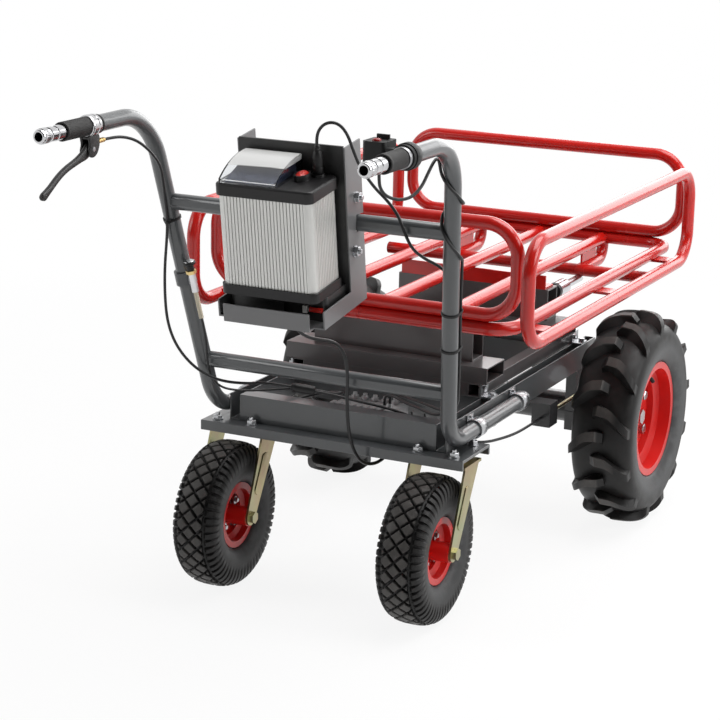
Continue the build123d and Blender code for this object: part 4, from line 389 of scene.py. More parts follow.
satin = Values(grain=(1700, 1), bump=(0.00008, 0.4))  # skin of the throttle housing and the cradle
housing = Values(satin, cloud=60, ground=((0.008, 0.008, 0.0085), (0.015, 0.015, 0.0155)), metal=0,
    rough=0.44, cloudRough=0.08, shine=0.28, ring=((0.34, 0.34, 0.35), 1, -0.18), ringEnd=0.0092,
    podEdge=-0.2575)
stop = Values(cloud=70, ground=((0.52, 0.52, 0.54), (0.8, 0.8, 0.82)), metal=1, rough=0.2, cloudRough=0.1,
    end=((0.014, 0.014, 0.015), -1, 0.2), endLength=0.0125)
cradle = Values(satin, cloud=40, ground=((0.013, 0.013, 0.013), (0.024, 0.024, 0.024)), metal=0, rough=0.36,
    cloudRough=0.1, red=((0.58, 0.022, 0.016), 0, -0.16), bright=((0.78, 0.77, 0.74), 0, 0), proud=-0.4892,
    contactZ=(0.562, 0.577), redEnd=-0.059, brightEnd=-0.046)
# shift knob on the left upright: its axis, and the radius and heights that part the colours of its bracket
pull = Values(axis=(-0.34625, 0.22359, 0.56018), way=(-0.24734, 0.09482, 0.96428), columns=56, cloud=90,
    ground=((0.07, 0.075, 0.079), (0.1, 0.105, 0.11)), metal=0, rough=0.26, cloudRough=0.08,
    body=(((0.55, 0.55, 0.56), (0.8, 0.8, 0.81)), 1, 0), nut=((0.72, 0.54, 0.24), 0, 0),
    tube=((0.56, 0.5, 0.38), -1, 0.2), radius=0.0098, nutLow=0.0139, tubeTop=-0.0199)
# bar ends: bright plating, and near-black in the bore as painted shade
plate = Values(cloud=70, ground=((0.44, 0.44, 0.45), (0.68, 0.68, 0.69)), metal=1, rough=0.09,
    cloudRough=0.08, bore=((0.012, 0.0115, 0.0115), -1, 0.4), radius=0.0073)


def zoned(name, parts, zones, leans=False):
    # a clouded ground, and for each zone its colour and what it adds to metal and roughness
    look = Look(name)
    if leans:
        look.straighten()
    cloud = look.noise(parts.cloud)
    colour = look.mix(*parts.ground, cloud)
    metal = parts.metal
    rough = parts.rough + cloud * parts.cloudRough
    for zone, mask in zones(look).items():
        paint, addMetal, addRough = parts[zone]
        colour = look.mix(colour, look.mix(*paint, cloud) if len(paint) == 2 else paint, mask)
        if addMetal:
            metal = metal + mask * addMetal
        if addRough:
            rough = rough + mask * addRough
    look.set(BaseColor=colour, Metallic=metal, Roughness=rough)
    if "grain" in parts:
        look.set(Normal=look.grain(parts.grain, parts.bump))
    if "shine" in parts:
        look.fix(Specular_IOR_Level=parts.shine)
    return look


def housingZones(look):  # black pod and rings, one bright ring next to the grip
    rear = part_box("throttle_housing")[0].x
    return {"ring": (look.axis("X") < rear + housing.ringEnd) * (look.axis("Y") < housing.podEdge)}


def stopZones(look):  # bright sleeve with a black end
    return {"end": look.axis("X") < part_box("bed_stop")[0].x + stop.endLength}


def cradleZones(look):  # black cradle; the contact is red, its neighbour bright
    contact = (look.axis("X") < cradle.proud) * look.between("Z", *cradle.contactZ)
    return {"red": contact * (look.axis("Y") < cradle.redEnd),
            "bright": contact * look.between("Y", cradle.redEnd, cradle.brightEnd)}


def pullZones(look):  # grey clamp, bright body, brass nut and a pale tube round the wire
    offset = look.node("VectorMath", {"operation": "SUBTRACT"}, {0: look.place, 1: pull.axis})
    height = look.along(offset, pull.way)
    body = look.along(offset, offset) - height * height < pull.radius ** 2
    return {"body": body, "nut": body * (height > pull.nutLow), "tube": body * (height < pull.tubeTop)}


def barEndZones(look):  # bright plate; the bore is painted near-black, a painted shade in the hole
    across = look.axis("Y").maths("ABSOLUTE") - bar.y
    up = look.axis("Z") - bar.z
    return {"bore": across * across + up * up < plate.radius ** 2}


caseLook = brushedCase()
finishOf = {
    greyPaint: ["base_frame", "caster_plate", "handle_left", "handle_right", "handle_crossbars"],
    sheetPaint: ["battery_holder"],
    darkPaint: ["bed_subframe", "bed_risers"],
    redPaint: ["bed_brackets", "bed_floor", "guard_front", "guard_rear", "guard_left", "guard_right"],
    rimPaint: ["drive_rim_left", "drive_rim_right", "caster_rim_left", "caster_rim_right"],
    blackPaint: ["transaxle", "drive_motor", "axle_mounts"],
    leverPaint: ["brake_lever", "lever_perch"],
    zinc: ["frame_bolts", "handle_clamps", "brake_plates", "brake_arms", "drive_hub_left",
           "drive_hub_right"],
    yellowZinc: ["caster_heads", "caster_fork_left", "caster_fork_right", "brake_rods"],
    chrome: ["grip_end_left", "throttle_end"],
    castAlloy: ["controller_box", "battery_cells"],
    tyreLooks["drive"]: ["drive_tyre_left", "drive_tyre_right"],
    tyreLooks["caster"]: ["caster_tyre_left", "caster_tyre_right"],
    gripRubber: ["grip_left", "throttle_grip"],
    sheath: ["battery_cord", "control_cable", "main_cable", "brake_cable", "shift_cable"],
    blackPlastic: ["cable_ties", "shift_knob", "direction_switch"],
    redLens: ["battery_rocker", "horn_button"],
    caseLook: ["battery_case"],
    clearCover(): ["battery_cover"],
    capPlastic(): ["battery_caps"],
    zoned("housing_finish", housing, housingZones): ["throttle_housing"],
    zoned("stop_finish", stop, stopZones): ["bed_stop"],
    zoned("cradle_finish", cradle, cradleZones, leans=True): ["battery_cradle"],
    zoned("pull_finish", pull, pullZones): ["shift_bracket"],
}
for look, names in finishOf.items():
    for name in names:
        node = frame["nodes"][name]
        node.data.materials.clear()
        node.data.materials.append(look.material)
print("finishes on", sum(len(names) for names in finishOf.values()), "nodes")

softEdges = Values(width=0.0008, segments=2, angle=40)
softened = ["base_frame", "caster_plate", "handle_crossbars", "battery_holder", "battery_cradle",
            "battery_caps", "bed_subframe", "bed_risers", "bed_brackets", "throttle_housing",
            "direction_switch", "controller_box", "handle_clamps", "axle_mounts", "drive_motor", "transaxle"]
for name in softened:
    node = frame["nodes"][name]
    node.modifiers.new("joined", "WELD").merge_threshold = 0.00001
    bevel = node.modifiers.new("soft_edges", "BEVEL")
    bevel.width = softEdges.width
    bevel.segments = softEdges.segments
    bevel.limit_method = "ANGLE"
    bevel.angle_limit = math.radians(softEdges.angle)
    bevel.harden_normals = True
print("edges softened on", len(softened), "nodes")


# surfaces
def gridFaces(rows, columns, closeRows=False):
    # quads of a grid whose columns close on themselves; rows close too on a ring
    last = rows if closeRows else rows - 1
    row, column = np.meshgrid(np.arange(last), np.arange(columns), indexing="ij")
    nextRow = (row + 1) % rows
    nextColumn = (column + 1) % columns
    corners = [row * columns + column, row * columns + nextColumn, nextRow * columns + nextColumn,
               nextRow * columns + column]
    return np.stack(corners, axis=-1).reshape(-1, 4)


def makePiece(name, grids, look, body, closeRows=False, sharp=None, standsFor=()):
    # one mesh from grids of the same shape, with flat ends where the rows stay open
    grids = np.asarray(grids, float)
    if grids.ndim == 3:
        grids = grids[None]
    count, rows, columns, _ = grids.shape
    faces = gridFaces(rows, columns, closeRows)
    allFaces = (faces[None] + (np.arange(count) * rows * columns)[:, None, None]).reshape(-1, 4).tolist()
    if not closeRows:
        for number in range(count):
            start = number * rows * columns
            allFaces.append(list(range(start, start + columns))[::-1])
            allFaces.append(list(range(start + (rows - 1) * columns, start + rows * columns)))
    mesh = bpy.data.meshes.new(name)
    mesh.from_pydata(grids.reshape(-1, 3).tolist(), [], allFaces)
    mesh.polygons.foreach_set("use_smooth", np.ones(len(mesh.polygons), bool))
    if sharp:
        mesh.set_sharp_from_angle(angle=math.radians(sharp))
    mesh.materials.append(look.material)
    mesh.update()
    piece = bpy.data.objects.new(name, mesh)
    bpy.context.scene.collection.objects.link(piece)
    if standsFor:
        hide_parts(*standsFor)
    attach(piece, body)


def smoothStep(low, high, value):
    share = np.clip((value - low) / (high - low), 0, 1)
    return share * share * (3 - 2 * share)


def leanBack(points):
    # points of the upright battery, turned back about the lean's pivot
    angle = math.radians(lean.degrees)
    spot = np.asarray(points, float) - lean.pivot
    x = spot[..., 0] * math.cos(angle) - spot[..., 2] * math.sin(angle)
    z = spot[..., 0] * math.sin(angle) + spot[..., 2] * math.cos(angle)
    return np.stack([x, spot[..., 1], z], axis=-1) + lean.pivot


def ringBasis(out):
    # two directions square to an axis
    out = np.asarray(out, float) / np.linalg.norm(out)
    first = np.cross(out, (0, 0, 1) if abs(out[2]) < 0.9 else (1, 0, 0))
    first /= np.linalg.norm(first)
    return out, first, np.cross(out, first)


def lathe(origin, out, profile, columns, ripple=None):
    # each (along, radius) of the profile is carried round the axis; ripple changes the radius
    out, first, second = ringBasis(out)
    along, radius = np.array(profile, float).T
    angle = np.arange(columns) * turn / columns
    reach = radius[:, None] * np.ones(columns)
    if ripple:
        reach = reach + ripple(angle[None, :], along[:, None], radius[:, None])
    spokes = np.cos(angle)[:, None] * first + np.sin(angle)[:, None] * second
    return np.asarray(origin) + along[:, None, None] * out + reach[..., None] * spokes[None]


def hexFlats(low, high):
    # between two heights the flats of a hexagon are pressed into its corner circle
    def flats(angle, along, radius):
        inset = math.cos(math.pi / 6) / np.cos(np.mod(angle, math.pi / 3) - math.pi / 6) - 1
        return radius * inset * (along > low) * (along < high)

    return flats


# tyres: a section carried round the axle, its tread a blend of the carcass and the outline of the blocks
def halfSection(samples, half, middle, top, squareness):
    # upper half of a rounded section, from one shoulder over the crown to the other
    sweep = np.linspace(0, math.pi, samples)
    cosine = np.cos(sweep)
    across = half * np.sign(cosine) * np.abs(cosine) ** squareness[0]
    up = middle + (top - middle) * np.abs(np.sin(sweep)) ** squareness[1]
    return np.stack([across, up], axis=-1)


def evenly(points, samples):
    # the same line with its points at equal steps along it
    steps = np.linalg.norm(np.diff(points, axis=0), axis=1)
    travel = np.concatenate([[0], np.cumsum(steps)])
    at = np.linspace(0, travel[-1], samples)
    return np.stack([np.interp(at, travel, points[:, axis]) for axis in (0, 1)], axis=-1)


def sideWall(samples, half, middle, tyre):
    # lower half: the wall curves in from its widest place to the rim flange, and then goes down to the bead
    sweep = np.linspace(0, math.pi / 2, samples)
    across = tyre.bead + (half - tyre.bead) * np.cos(sweep)
    up = middle - (middle - tyre.beadTop) * np.sin(sweep)
    return np.concatenate([np.stack([across, up], axis=-1), [[tyre.bead, tyre.foot]]])


def sectionLoop(tyre, carcass, blocks, lower, inner):
    # the closed section: left wall, crown, right wall, and back through the hidden inside
    left = lower[::-1]
    right = lower * (-1, 1)
    outer = np.concatenate([left[:-1], carcass, right[1:]])
    raised = np.concatenate([left[:-1], blocks, right[1:]])
    inside = tyre.wall - tyre.bead
    foot = np.array([[inside, tyre.foot], [inside, tyre.beadTop]])
    hidden = np.concatenate([foot, inner[::-1], foot[::-1] * (-1, 1)])
    return np.concatenate([outer, hidden]), np.concatenate([raised, hidden]), len(outer)


def carryRound(centre, outer, raised, share, angle):
    section = outer[:, None] + (raised - outer)[:, None] * share[..., None]
    x = section[..., 1] * np.sin(angle)
    z = section[..., 1] * np.cos(angle)
    return np.asarray(centre) + np.stack([x, section[..., 0], z], axis=-1)


tyreRows = Values(wall=12, inside=13)
driveTyre = Values(lugs=13, lugHeight=0.019, lugHalf=0.009, lugEdge=0.003, lugInner=0.017, lugOuter=-0.03635,
    lugPast=0.0074, lugStart=0.001, lugEnd=0.0024, lugLow=(0.17, 0.176), lugRound=(0.36, 0.36),
    shoulderDrop=0.0085, shoulderFrom=0.004, round=(0.7, 0.6), inset=0.0006, middleRound=0.004, wall=0.009,
    bead=0.04565, beadTop=0.1128, foot=0.102, between=8, top=7, samples=71)
casterTyre = Values(blocks=28, depth=0.0056, groove=0.005, grooveSpan=(0.35, 0.75), slant=0.0275,
    ribDepth=0.0013, crownHalf=0.0215, barStart=0.0262, barSpan=(0.12, 0.21), barShift=0.25, edge=0.0014,
    step=0.12, fade=(0.034, 0.022), round=(0.75, 0.66), blockRound=(0.68, 0.6), wall=0.008, bead=0.0237,
    beadTop=0.06, foot=0.051, columns=728, samples=91)


def lugColumns(tyre, middle):
    # a pitch holds one lug of each half, and columns stand at the foot and the top of every lug wall
    pitch = turn / tyre.lugs
    half = tyre.lugHalf / (pitch * middle)
    foot = half + tyre.lugEdge / (pitch * middle)
    before = np.linspace(-0.25, -foot, tyre.between + 1)
    top = np.linspace(-half, half, tyre.top)
    one = np.concatenate([before, top, -before[:0:-1]])
    raised = np.concatenate([before * 0, top * 0 + 1, before[1:] * 0])
    pair = np.concatenate([one + 0.25, one + 0.75])
    angle = (np.arange(tyre.lugs)[:, None] + pair).ravel() * pitch
    none = raised * 0
    shares = [np.tile(np.concatenate(order), tyre.lugs) for order in ((raised, none), (none, raised))]
    return angle, shares


def driveTread(centre, tyre, radius, half):
    crown = radius - tyre.lugHeight
    middle = (tyre.beadTop + crown) / 2
    treadMiddle = (crown + radius) / 2
    carcass = halfSection(tyre.samples, half - tyre.inset, middle, crown, tyre.round)
    blocks = halfSection(tyre.samples, half, middle, radius, tyre.lugRound)
    onTop = blocks[:, 1] > crown - tyre.shoulderFrom
    blocks[:, 1] -= tyre.shoulderDrop * (blocks[:, 0] / half) ** 2 * onTop
    lower = sideWall(tyreRows.wall, half - tyre.inset, middle, tyre)
    inner = halfSection(tyreRows.inside, half - tyre.wall, middle, crown - tyre.wall, tyre.round)
    outer, raised, shown = sectionLoop(tyre, carcass, blocks, lower, inner)
    angle, shares = lugColumns(tyre, treadMiddle)
    # each lug starts a little past the middle of the tread and ends low on its own shoulder
    start = -tyre.lugPast
    ends = [smoothStep(start - tyre.lugStart, start + tyre.lugEnd, outer[:, 0] * way)
            for way in (1, -1)]
    share = np.maximum(ends[0][:, None] * shares[0], ends[1][:, None] * shares[1])
    share = share * smoothStep(*tyre.lugLow, outer[:, 1])[:, None]
    share[shown:] = 0
    # the columns lean with the lugs, so that every lug wall follows one column
    reach = np.full(len(outer), half)
    crownRows = slice(len(lower) - 1, len(lower) - 1 + tyre.samples)
    reach[crownRows] = np.hypot(carcass[:, 0], tyre.middleRound)
    outwards = (reach + tyre.lugPast) / (half + tyre.lugPast)
    leanArc = tyre.lugInner + (tyre.lugOuter - tyre.lugInner) * outwards
    return carryRound(centre, outer, raised, share, angle[None] + leanArc[:, None] / treadMiddle)


def casterTread(centre, tyre, radius, half):
    crown = radius - tyre.depth
    middle = (tyre.beadTop + crown) / 2
    fine = 4 * tyre.samples
    under = half - tyre.ribDepth
    carcass = evenly(halfSection(fine, under, middle, crown, tyre.round), tyre.samples)
    blocks = evenly(halfSection(fine, half, middle, radius, tyre.blockRound), tyre.samples)
    lower = sideWall(tyreRows.wall, under, middle, tyre)
    inner = halfSection(tyreRows.inside, half - tyre.wall, middle, crown - tyre.wall, tyre.round)
    outer, raised, shown = sectionLoop(tyre, carcass, blocks, lower, inner)
    angle = np.arange(tyre.columns)[None] * turn / tyre.columns
    across = outer[:, None, 0]
    up = outer[:, None, 1]
    # two families of slanting grooves leave diamonds on the crown;
    # past a low step the shoulders carry cross bars
    pitch = turn * radius / tyre.blocks
    width = tyre.groove / pitch
    turns = angle * radius / pitch
    stripes = [np.abs(np.mod(turns + way * across / tyre.slant, 1) - 0.5) for way in (1, -1)]
    diamonds = smoothStep(width * tyre.grooveSpan[0], width * tyre.grooveSpan[1], np.minimum(*stripes))
    bars = smoothStep(*tyre.barSpan, np.abs(np.mod(2 * turns + tyre.barShift, 1) - 0.5))
    crownEnd = smoothStep(tyre.crownHalf, tyre.crownHalf + tyre.edge, np.abs(across))
    barStart = smoothStep(tyre.barStart, tyre.barStart + tyre.edge, np.abs(across))
    share = diamonds * (1 - crownEnd) + tyre.step * crownEnd * (1 - barStart) + bars * barStart
    share = share * smoothStep(crown - tyre.fade[0], crown - tyre.fade[1], up)
    share[shown:] = 0
    return carryRound(centre, outer, raised, share, angle)


for side, way in sides.items():
    for kind, tread, tyre in (("drive", driveTread, driveTyre), ("caster", casterTread, casterTyre)):
        node = kind + "_tyre_" + side
        low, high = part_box(node)
        spin = joints[kind + "_spin_" + side]
        grid = tread(spin, tyre, (high.z - low.z) / 2, (high.y - low.y) / 2)
        if way < 0:  # the right tyre mirrors the left, with its columns turned round to keep faces outward
            grid = (grid * (1, -1, 1) + (0, 2 * spin[1], 0))[:, ::-1]
        makePiece(kind + "_tread_" + side, grid, tyreLooks[kind], kind + "_wheel_" + side,
                  closeRows=True, sharp=42, standsFor=[node])
print("tyres made")


# valve: a rubber foot in the rim, a bright stem and a black cap, turned in towards the hub
valve = Values(start=0.0975, across=0.03, inwards=0.8, outwards=0.6, turned=-8, columns=20)
valveFoot = mm * np.array([(-2, 5), (4, 4.8), (9, 3.6), (9.5, 2.8)])
valveCap = mm * np.array([(16.5, 3), (17, 4.1), (26.2, 3.9), (28, 2.6)])
valveStem = mm * np.array([(8, 2.4), (11.8, 2.4), (12, 3), (13.5, 3), (13.7, 2.4), (20, 2.4)])


def valveAt(side):
    way = sides[side]
    turned = math.radians(valve.turned)
    radial = np.array((math.sin(turned), 0, math.cos(turned)))
    out = -radial * valve.inwards + np.array((0, way, 0)) * valve.outwards
    start = joints["drive_spin_" + side] + radial * valve.start + np.array((0, way, 0)) * valve.across
    return start, out


for side in sides:
    start, out = valveAt(side)
    ends = [lathe(start, out, profile, valve.columns) for profile in (valveFoot, valveCap)]
    stem = lathe(start, out, valveStem, valve.columns)
    makePiece("valve_cap_" + side, ends, blackPlastic, "drive_wheel_" + side, sharp=40)
    makePiece("valve_stem_" + side, stem, brass, "drive_wheel_" + side, sharp=40)
print("valves made")


# grips: rubber sleeves with diamond knurls, on the two bars
sleeve = Values(radius=0.0155, bore=0.0127, around=30, pitch=0.0032, depth=0.00055, lip=0.0012, fade=0.001,
    rows=110, columns=240)
leftGrip = Values(sleeve, rear=-0.664, front=-0.596, plain=0.004)
twistGrip = Values(sleeve, rear=-0.6627, front=-0.602, plain=0.006)
barEnds = Values(rear=-0.726, left=0.062, right=0.063, columns=120, knurls=30, knurlDepth=0.0004,
    knurlFrom=0.0065, knurlTo=0.0175)
barEndProfile = mm * np.array([
    (28, 7), (0.8, 7), (0, 7.6), (0, 9.3), (1.2, 10.7), (3.6, 11.5), (5, 11.7), (5.6, 12.5), (7, 12.5),
    (17, 12.5), (18.4, 12.5), (19.2, 10.9), (23.6, 10.9), (24.4, 12), (39, 12), (39.6, 11.2), (41.6, 11.2),
    (42.2, 12.2)])
barEndLip = mm * np.array([(-1.2, 12.2), (0, 11.5)])


def gripSleeve(grip, way):
    # two crossing waves round and along the sleeve press the diamonds in; both rims stay plain
    length = grip.front - grip.rear
    rim = grip.radius - grip.lip
    rows = np.linspace(grip.lip, length - grip.lip, grip.rows)
    outer = np.stack([rows, rows * 0 + grip.radius], axis=-1)
    profile = np.concatenate([[(0, grip.bore), (0, rim)], outer, [(length, rim), (length, grip.bore)]])

    def diamonds(angle, along, radius):
        drift = turn * along / (2 * grip.pitch)
        wave = [np.cos(grip.around * angle + sign * drift) for sign in (1, -1)]
        inside = smoothStep(grip.plain - grip.fade, grip.plain, np.minimum(along, length - along))
        return -grip.depth * (1 - np.sqrt(np.abs(wave[0] * wave[1]))) * inside

    return lathe((grip.rear, way * bar.y, bar.z), (1, 0, 0), profile, grip.columns, diamonds)


def barEnd(side):
    # bore, rounded nose with a knurled ring, then stepped bands up to the grip
    profile = np.concatenate([barEndProfile, barEndLip + (barEnds[side], 0)])

    def knurl(angle, along, radius):
        pressed = (along > barEnds.knurlFrom) * (along < barEnds.knurlTo)
        return -barEnds.knurlDepth * (np.cos(barEnds.knurls * angle) < 0) * pressed

    start = (barEnds.rear, sides[side] * bar.y, bar.z)
    return lathe(start, (1, 0, 0), profile, barEnds.columns, knurl)


barEndLook = zoned("bar_end_chrome", plate, barEndZones)
for name, grip, way, body, node in (("left_grip_sleeve", leftGrip, 1, "chassis", "grip_left"),
                                    ("twist_grip_sleeve", twistGrip, -1, "throttle", "throttle_grip")):
    makePiece(name, gripSleeve(grip, way), gripRubber, body, closeRows=True, standsFor=[node])
for side, node in (("left", "grip_end_left"), ("right", "throttle_end")):
    makePiece(side + "_bar_end", barEnd(side), barEndLook, "chassis", sharp=25, standsFor=[node])
print("grips made")


# brake lever and the perch that holds it
perch = Values(rear=-0.596, columns=96)
perchRing = mm * np.array([
    (0, 12.7), (0, 16), (1, 17), (4, 17.2), (5.2, 18), (14, 18), (15.2, 16.8), (17.6, 16.8), (18.8, 17.6),
    (24.6, 17.6), (26, 16.6), (26, 12.7)])
perchCollar = mm * np.array([
    (26, 12.7), (26.2, 15), (27, 15.7), (29.2, 15.8), (29.8, 15), (31.2, 15), (31.8, 15.8), (34.6, 15.8),
    (35.2, 15.2), (35.8, 15), (36, 14.6), (36, 12.7)])
adjuster = Values(seat=(-0.569, 0.277, 0.824), nut=(0.001, 0.0105), columns=48)
adjusterProfile = mm * np.array([
    (0, 4.6), (1, 4.6), (1.2, 5.8), (2, 6), (9.5, 6), (10.3, 5.8), (10.5, 3.8), (13, 3.8), (13.2, 4.4),
    (19, 4.4), (19.2, 3.6), (22.5, 3.6), (23, 4.1), (27.2, 4.1), (28, 3.4)])
cheeks = Values(inner=0.0054, outer=0.0098, round=0.0016, columns=72, bridge=0.007, bridgeRound=0.0008)
cheekOutline = mm * np.array([
    (-597.5, 836), (-593, 838.5), (-580, 838.8), (-570, 837.5), (-567.2, 832), (-566.8, 823), (-569, 815),
    (-574, 807), (-582, 802.2), (-590.5, 802), (-596.5, 806), (-597.5, 813), (-595, 821), (-596, 829)])
bridgeOutline = mm * np.array([
    (-595.5, 834.5), (-590, 838.5), (-578, 838.8), (-569, 837), (-567.6, 831), (-567.4, 823), (-569, 817),
    (-572, 816), (-574.5, 819), (-575, 824), (-576.5, 828.5), (-582, 830), (-590, 830), (-594.5, 831)])
lever = Values(half=0.005, squareness=2.6, tip=1.1, rows=72, columns=36)
leverLine = mm * np.array([
    (-579, 816.5, 6), (-586, 815, 10.4), (-598, 807.5, 9.2), (-613, 802.2, 6.6), (-629, 797.5, 5.4),
    (-647, 792.5, 5), (-664, 786.2, 4.8), (-679, 778.5, 4.8), (-693, 769.8, 4.9), (-705, 762.8, 5.6),
    (-716, 756.6, 6.6), (-721.5, 753.2, 1.2)])  # x, z, thickness


def smoothLine(points, samples, closed=False):
    # a cubic through the points, by the ends and slopes of each span
    points = np.asarray(points, float)
    if closed:
        slopes = (np.roll(points, -1, axis=0) - np.roll(points, 1, axis=0)) / 2
        ends = np.roll(points, -1, axis=0)
        endSlopes = np.roll(slopes, -1, axis=0)
        spans = len(points)
    else:
        slopes = np.gradient(points, axis=0)
        ends, endSlopes = points[1:], slopes[1:]
        spans = len(points) - 1
    at = np.linspace(0, spans, samples, endpoint=not closed)
    span = np.minimum(at.astype(int), spans - 1)
    share = (at - span)[:, None]
    square, cube = share ** 2, share ** 3
    begin = points[span] * (2 * cube - 3 * square + 1) + slopes[span] * (cube - 2 * square + share)
    return begin + ends[span] * (3 * square - 2 * cube) + endSlopes[span] * (cube - square)


def roundedPlate(outline, low, high, edge, columns, edgeRows=5):
    # an outline in the x-z plane carried across y, drawn in towards its middle at both faces
    line = smoothLine(outline, columns, closed=True)
    middle = line.mean(axis=0)
    out = (line - middle) / np.linalg.norm(line - middle, axis=1)[:, None]
    sweep = np.linspace(0, math.pi / 2, edgeRows)
    inset = np.concatenate([edge * (1 - np.sin(sweep)), edge * (1 - np.cos(sweep))])
    across = np.concatenate([low + edge * (1 - np.cos(sweep)), high - edge * (1 - np.sin(sweep))])
    spots = line[None] - out[None] * inset[:, None, None]
    y = np.broadcast_to(across[:, None], spots.shape[:2])
    return np.stack([spots[..., 0], y, spots[..., 1]], axis=-1)


def leverBlade():
    # a rounded section carried along the lever's line; its thickness follows the line
    line = smoothLine(leverLine, lever.rows)
    way = np.gradient(line[:, :2], axis=0)
    way /= np.linalg.norm(way, axis=1)[:, None]
    square = np.stack([-way[:, 1], way[:, 0]], axis=-1)
    angle = np.arange(lever.columns) * turn / lever.columns
    power = 2 / lever.squareness
    side = np.sign(np.cos(angle)) * np.abs(np.cos(angle)) ** power
    up = np.sign(np.sin(angle)) * np.abs(np.sin(angle)) ** power
    half = np.minimum(lever.half, line[:, 2] * lever.tip)
    spots = line[:, None, :2] + square[:, None] * (up[None] * line[:, 2:3])[..., None]
    y = bar.y + half[:, None] * side[None]
    return np.stack([spots[..., 0], y, spots[..., 1]], axis=-1)


barStart = (perch.rear, bar.y, bar.z)
cheekGrids = [roundedPlate(cheekOutline, bar.y + low, bar.y + high, cheeks.round, cheeks.columns)
              for low, high in ((cheeks.inner, cheeks.outer), (-cheeks.outer, -cheeks.inner))]
cheekGrids.append(roundedPlate(bridgeOutline, bar.y - cheeks.bridge, bar.y + cheeks.bridge,
                               cheeks.bridgeRound, cheeks.columns))
nutFlats = hexFlats(*adjuster.nut)
adjusterGrid = lathe(adjuster.seat, (1, 0, 0), adjusterProfile, adjuster.columns, nutFlats)
makePiece("perch_ring", lathe(barStart, (1, 0, 0), perchRing, perch.columns), chrome, "chassis",
          closeRows=True, sharp=30, standsFor=["lever_perch"])
makePiece("perch_collar", lathe(barStart, (1, 0, 0), perchCollar, perch.columns), blackPlastic, "chassis",
          closeRows=True, sharp=30)
makePiece("perch_cheeks", cheekGrids, leverPaint, "chassis", sharp=50)
makePiece("cable_adjuster", adjusterGrid, brass, "chassis", sharp=30)
leverPin = Values(spot=(-0.586, bar.y, 0.815), columns=32)
pivotPin = mm * np.array([(-10.8, 2), (-10.6, 4), (-9.6, 4.2), (9.6, 4.2), (10.6, 4), (10.8, 2)])
pinGrid = lathe(leverPin.spot, (0, 1, 0), pivotPin, leverPin.columns)
makePiece("lever_pin", pinGrid, zinc, "chassis", sharp=30)
makePiece("lever_blade", leverBlade(), leverPaint, "brake_lever", standsFor=["brake_lever"])
print("lever made")


# pull knob: a black mushroom with a bright disc on top
knobProfile = mm * np.array([
    (-40, 3), (20.4, 3), (20.6, 6.4), (22.2, 6.8), (26.2, 6.2), (29, 6.6), (30.6, 8.6), (31.8, 10.4),
    (33.4, 11), (35, 10.8), (36.4, 9.8), (37, 8.8)])
knobDisc = mm * np.array([(36.6, 8.9), (37.1, 8.9), (37.6, 8.2), (37.9, 6), (38, 3)])
knobGrid, discGrid = (lathe(pull.axis, pull.way, profile, pull.columns)
                      for profile in (knobProfile, knobDisc))
makePiece("pull_knob", knobGrid, blackPlastic, "shift_knob", sharp=40,
          standsFor=["shift_knob"])
makePiece("pull_knob_disc", discGrid, chrome, "shift_knob")
print("knob made")


# rocker: a red dome in its bezel, with ridges across it
rocker = Values(x=-0.459, y=-0.0418, halfX=0.0148, halfY=0.0093, low=0.7803, edge=0.785, rise=0.0042,
    power=2.4, rings=(0.98, 0.03, 26), ridge=0.00035, ridges=5, ridgeSpan=(1.0, 0.75), columns=72)


def rockerDome():
    # an ellipse shrinks to its middle and rises as one minus its share to a power, with waves along x
    rings = np.linspace(*rocker.rings)
    share = np.concatenate([[1, 1], rings])
    rise = rocker.edge + rocker.rise * (1 - rings ** rocker.power)
    height = np.concatenate([[rocker.low, rocker.edge], rise])
    angle = np.arange(rocker.columns) * turn / rocker.columns
    x = rocker.halfX * share[:, None] * np.cos(angle)
    y = rocker.halfY * share[:, None] * np.sin(angle)
    fade = smoothStep(*rocker.ridgeSpan, share)
    wave = np.cos(turn * rocker.ridges * x / (2 * rocker.halfX)) * fade[:, None]
    z = height[:, None] + rocker.ridge * wave
    return leanBack(np.stack([rocker.x + x, rocker.y + y, z], axis=-1))


makePiece("rocker_dome", rockerDome(), redLens, "battery_rocker", sharp=50,
          standsFor=["battery_rocker"])
# horn button: a low dome in the pod's socket
horn = Values(spot=(-0.56874, -0.222, 0.8696), columns=48)
hornProfile = mm * np.array([(-5, 6), (-4.8, 6.8), (1.6, 6.8), (2.8, 6), (3.6, 4.2), (4, 1.6)])
makePiece("horn_dome", lathe(horn.spot, (0, 0, 1), hornProfile, horn.columns), hornLens, "horn_button",
          standsFor=["horn_button"])
print("rocker and horn made")


# battery case: a rounded outline with ribs between narrow grooves, carried up;
# along one rib, shares of its pitch and how deep in the groove each lies
ribShare = np.array([0.0, 0.09, 0.13, 0.2, 0.35, 0.5, 0.65, 0.8, 0.87, 0.91])
ribInset = np.array([1.0, 1.0, 0.12, 0.0, 0.0, 0.0, 0.0, 0.0, 0.12, 1.0])


def caseSide(middle, way, length, ribs):
    # one flat side: its ribs along the way it runs, grooves pressed in square to it
    along = ((np.arange(ribs)[:, None] + ribShare) / ribs).ravel() * length - length / 2
    inset = np.tile(ribInset, ribs) * case.depth
    inset[0] = 0
    way = np.array(way, float)
    out = np.array((way[1], -way[0]))
    return np.array(middle) + along[:, None] * way - inset[:, None] * out


def caseCorner(middle, start):
    angle = np.radians(start + np.linspace(0, 90, case.cornerColumns))
    return np.array(middle) + case.corner * np.stack([np.cos(angle), np.sin(angle)], axis=-1)


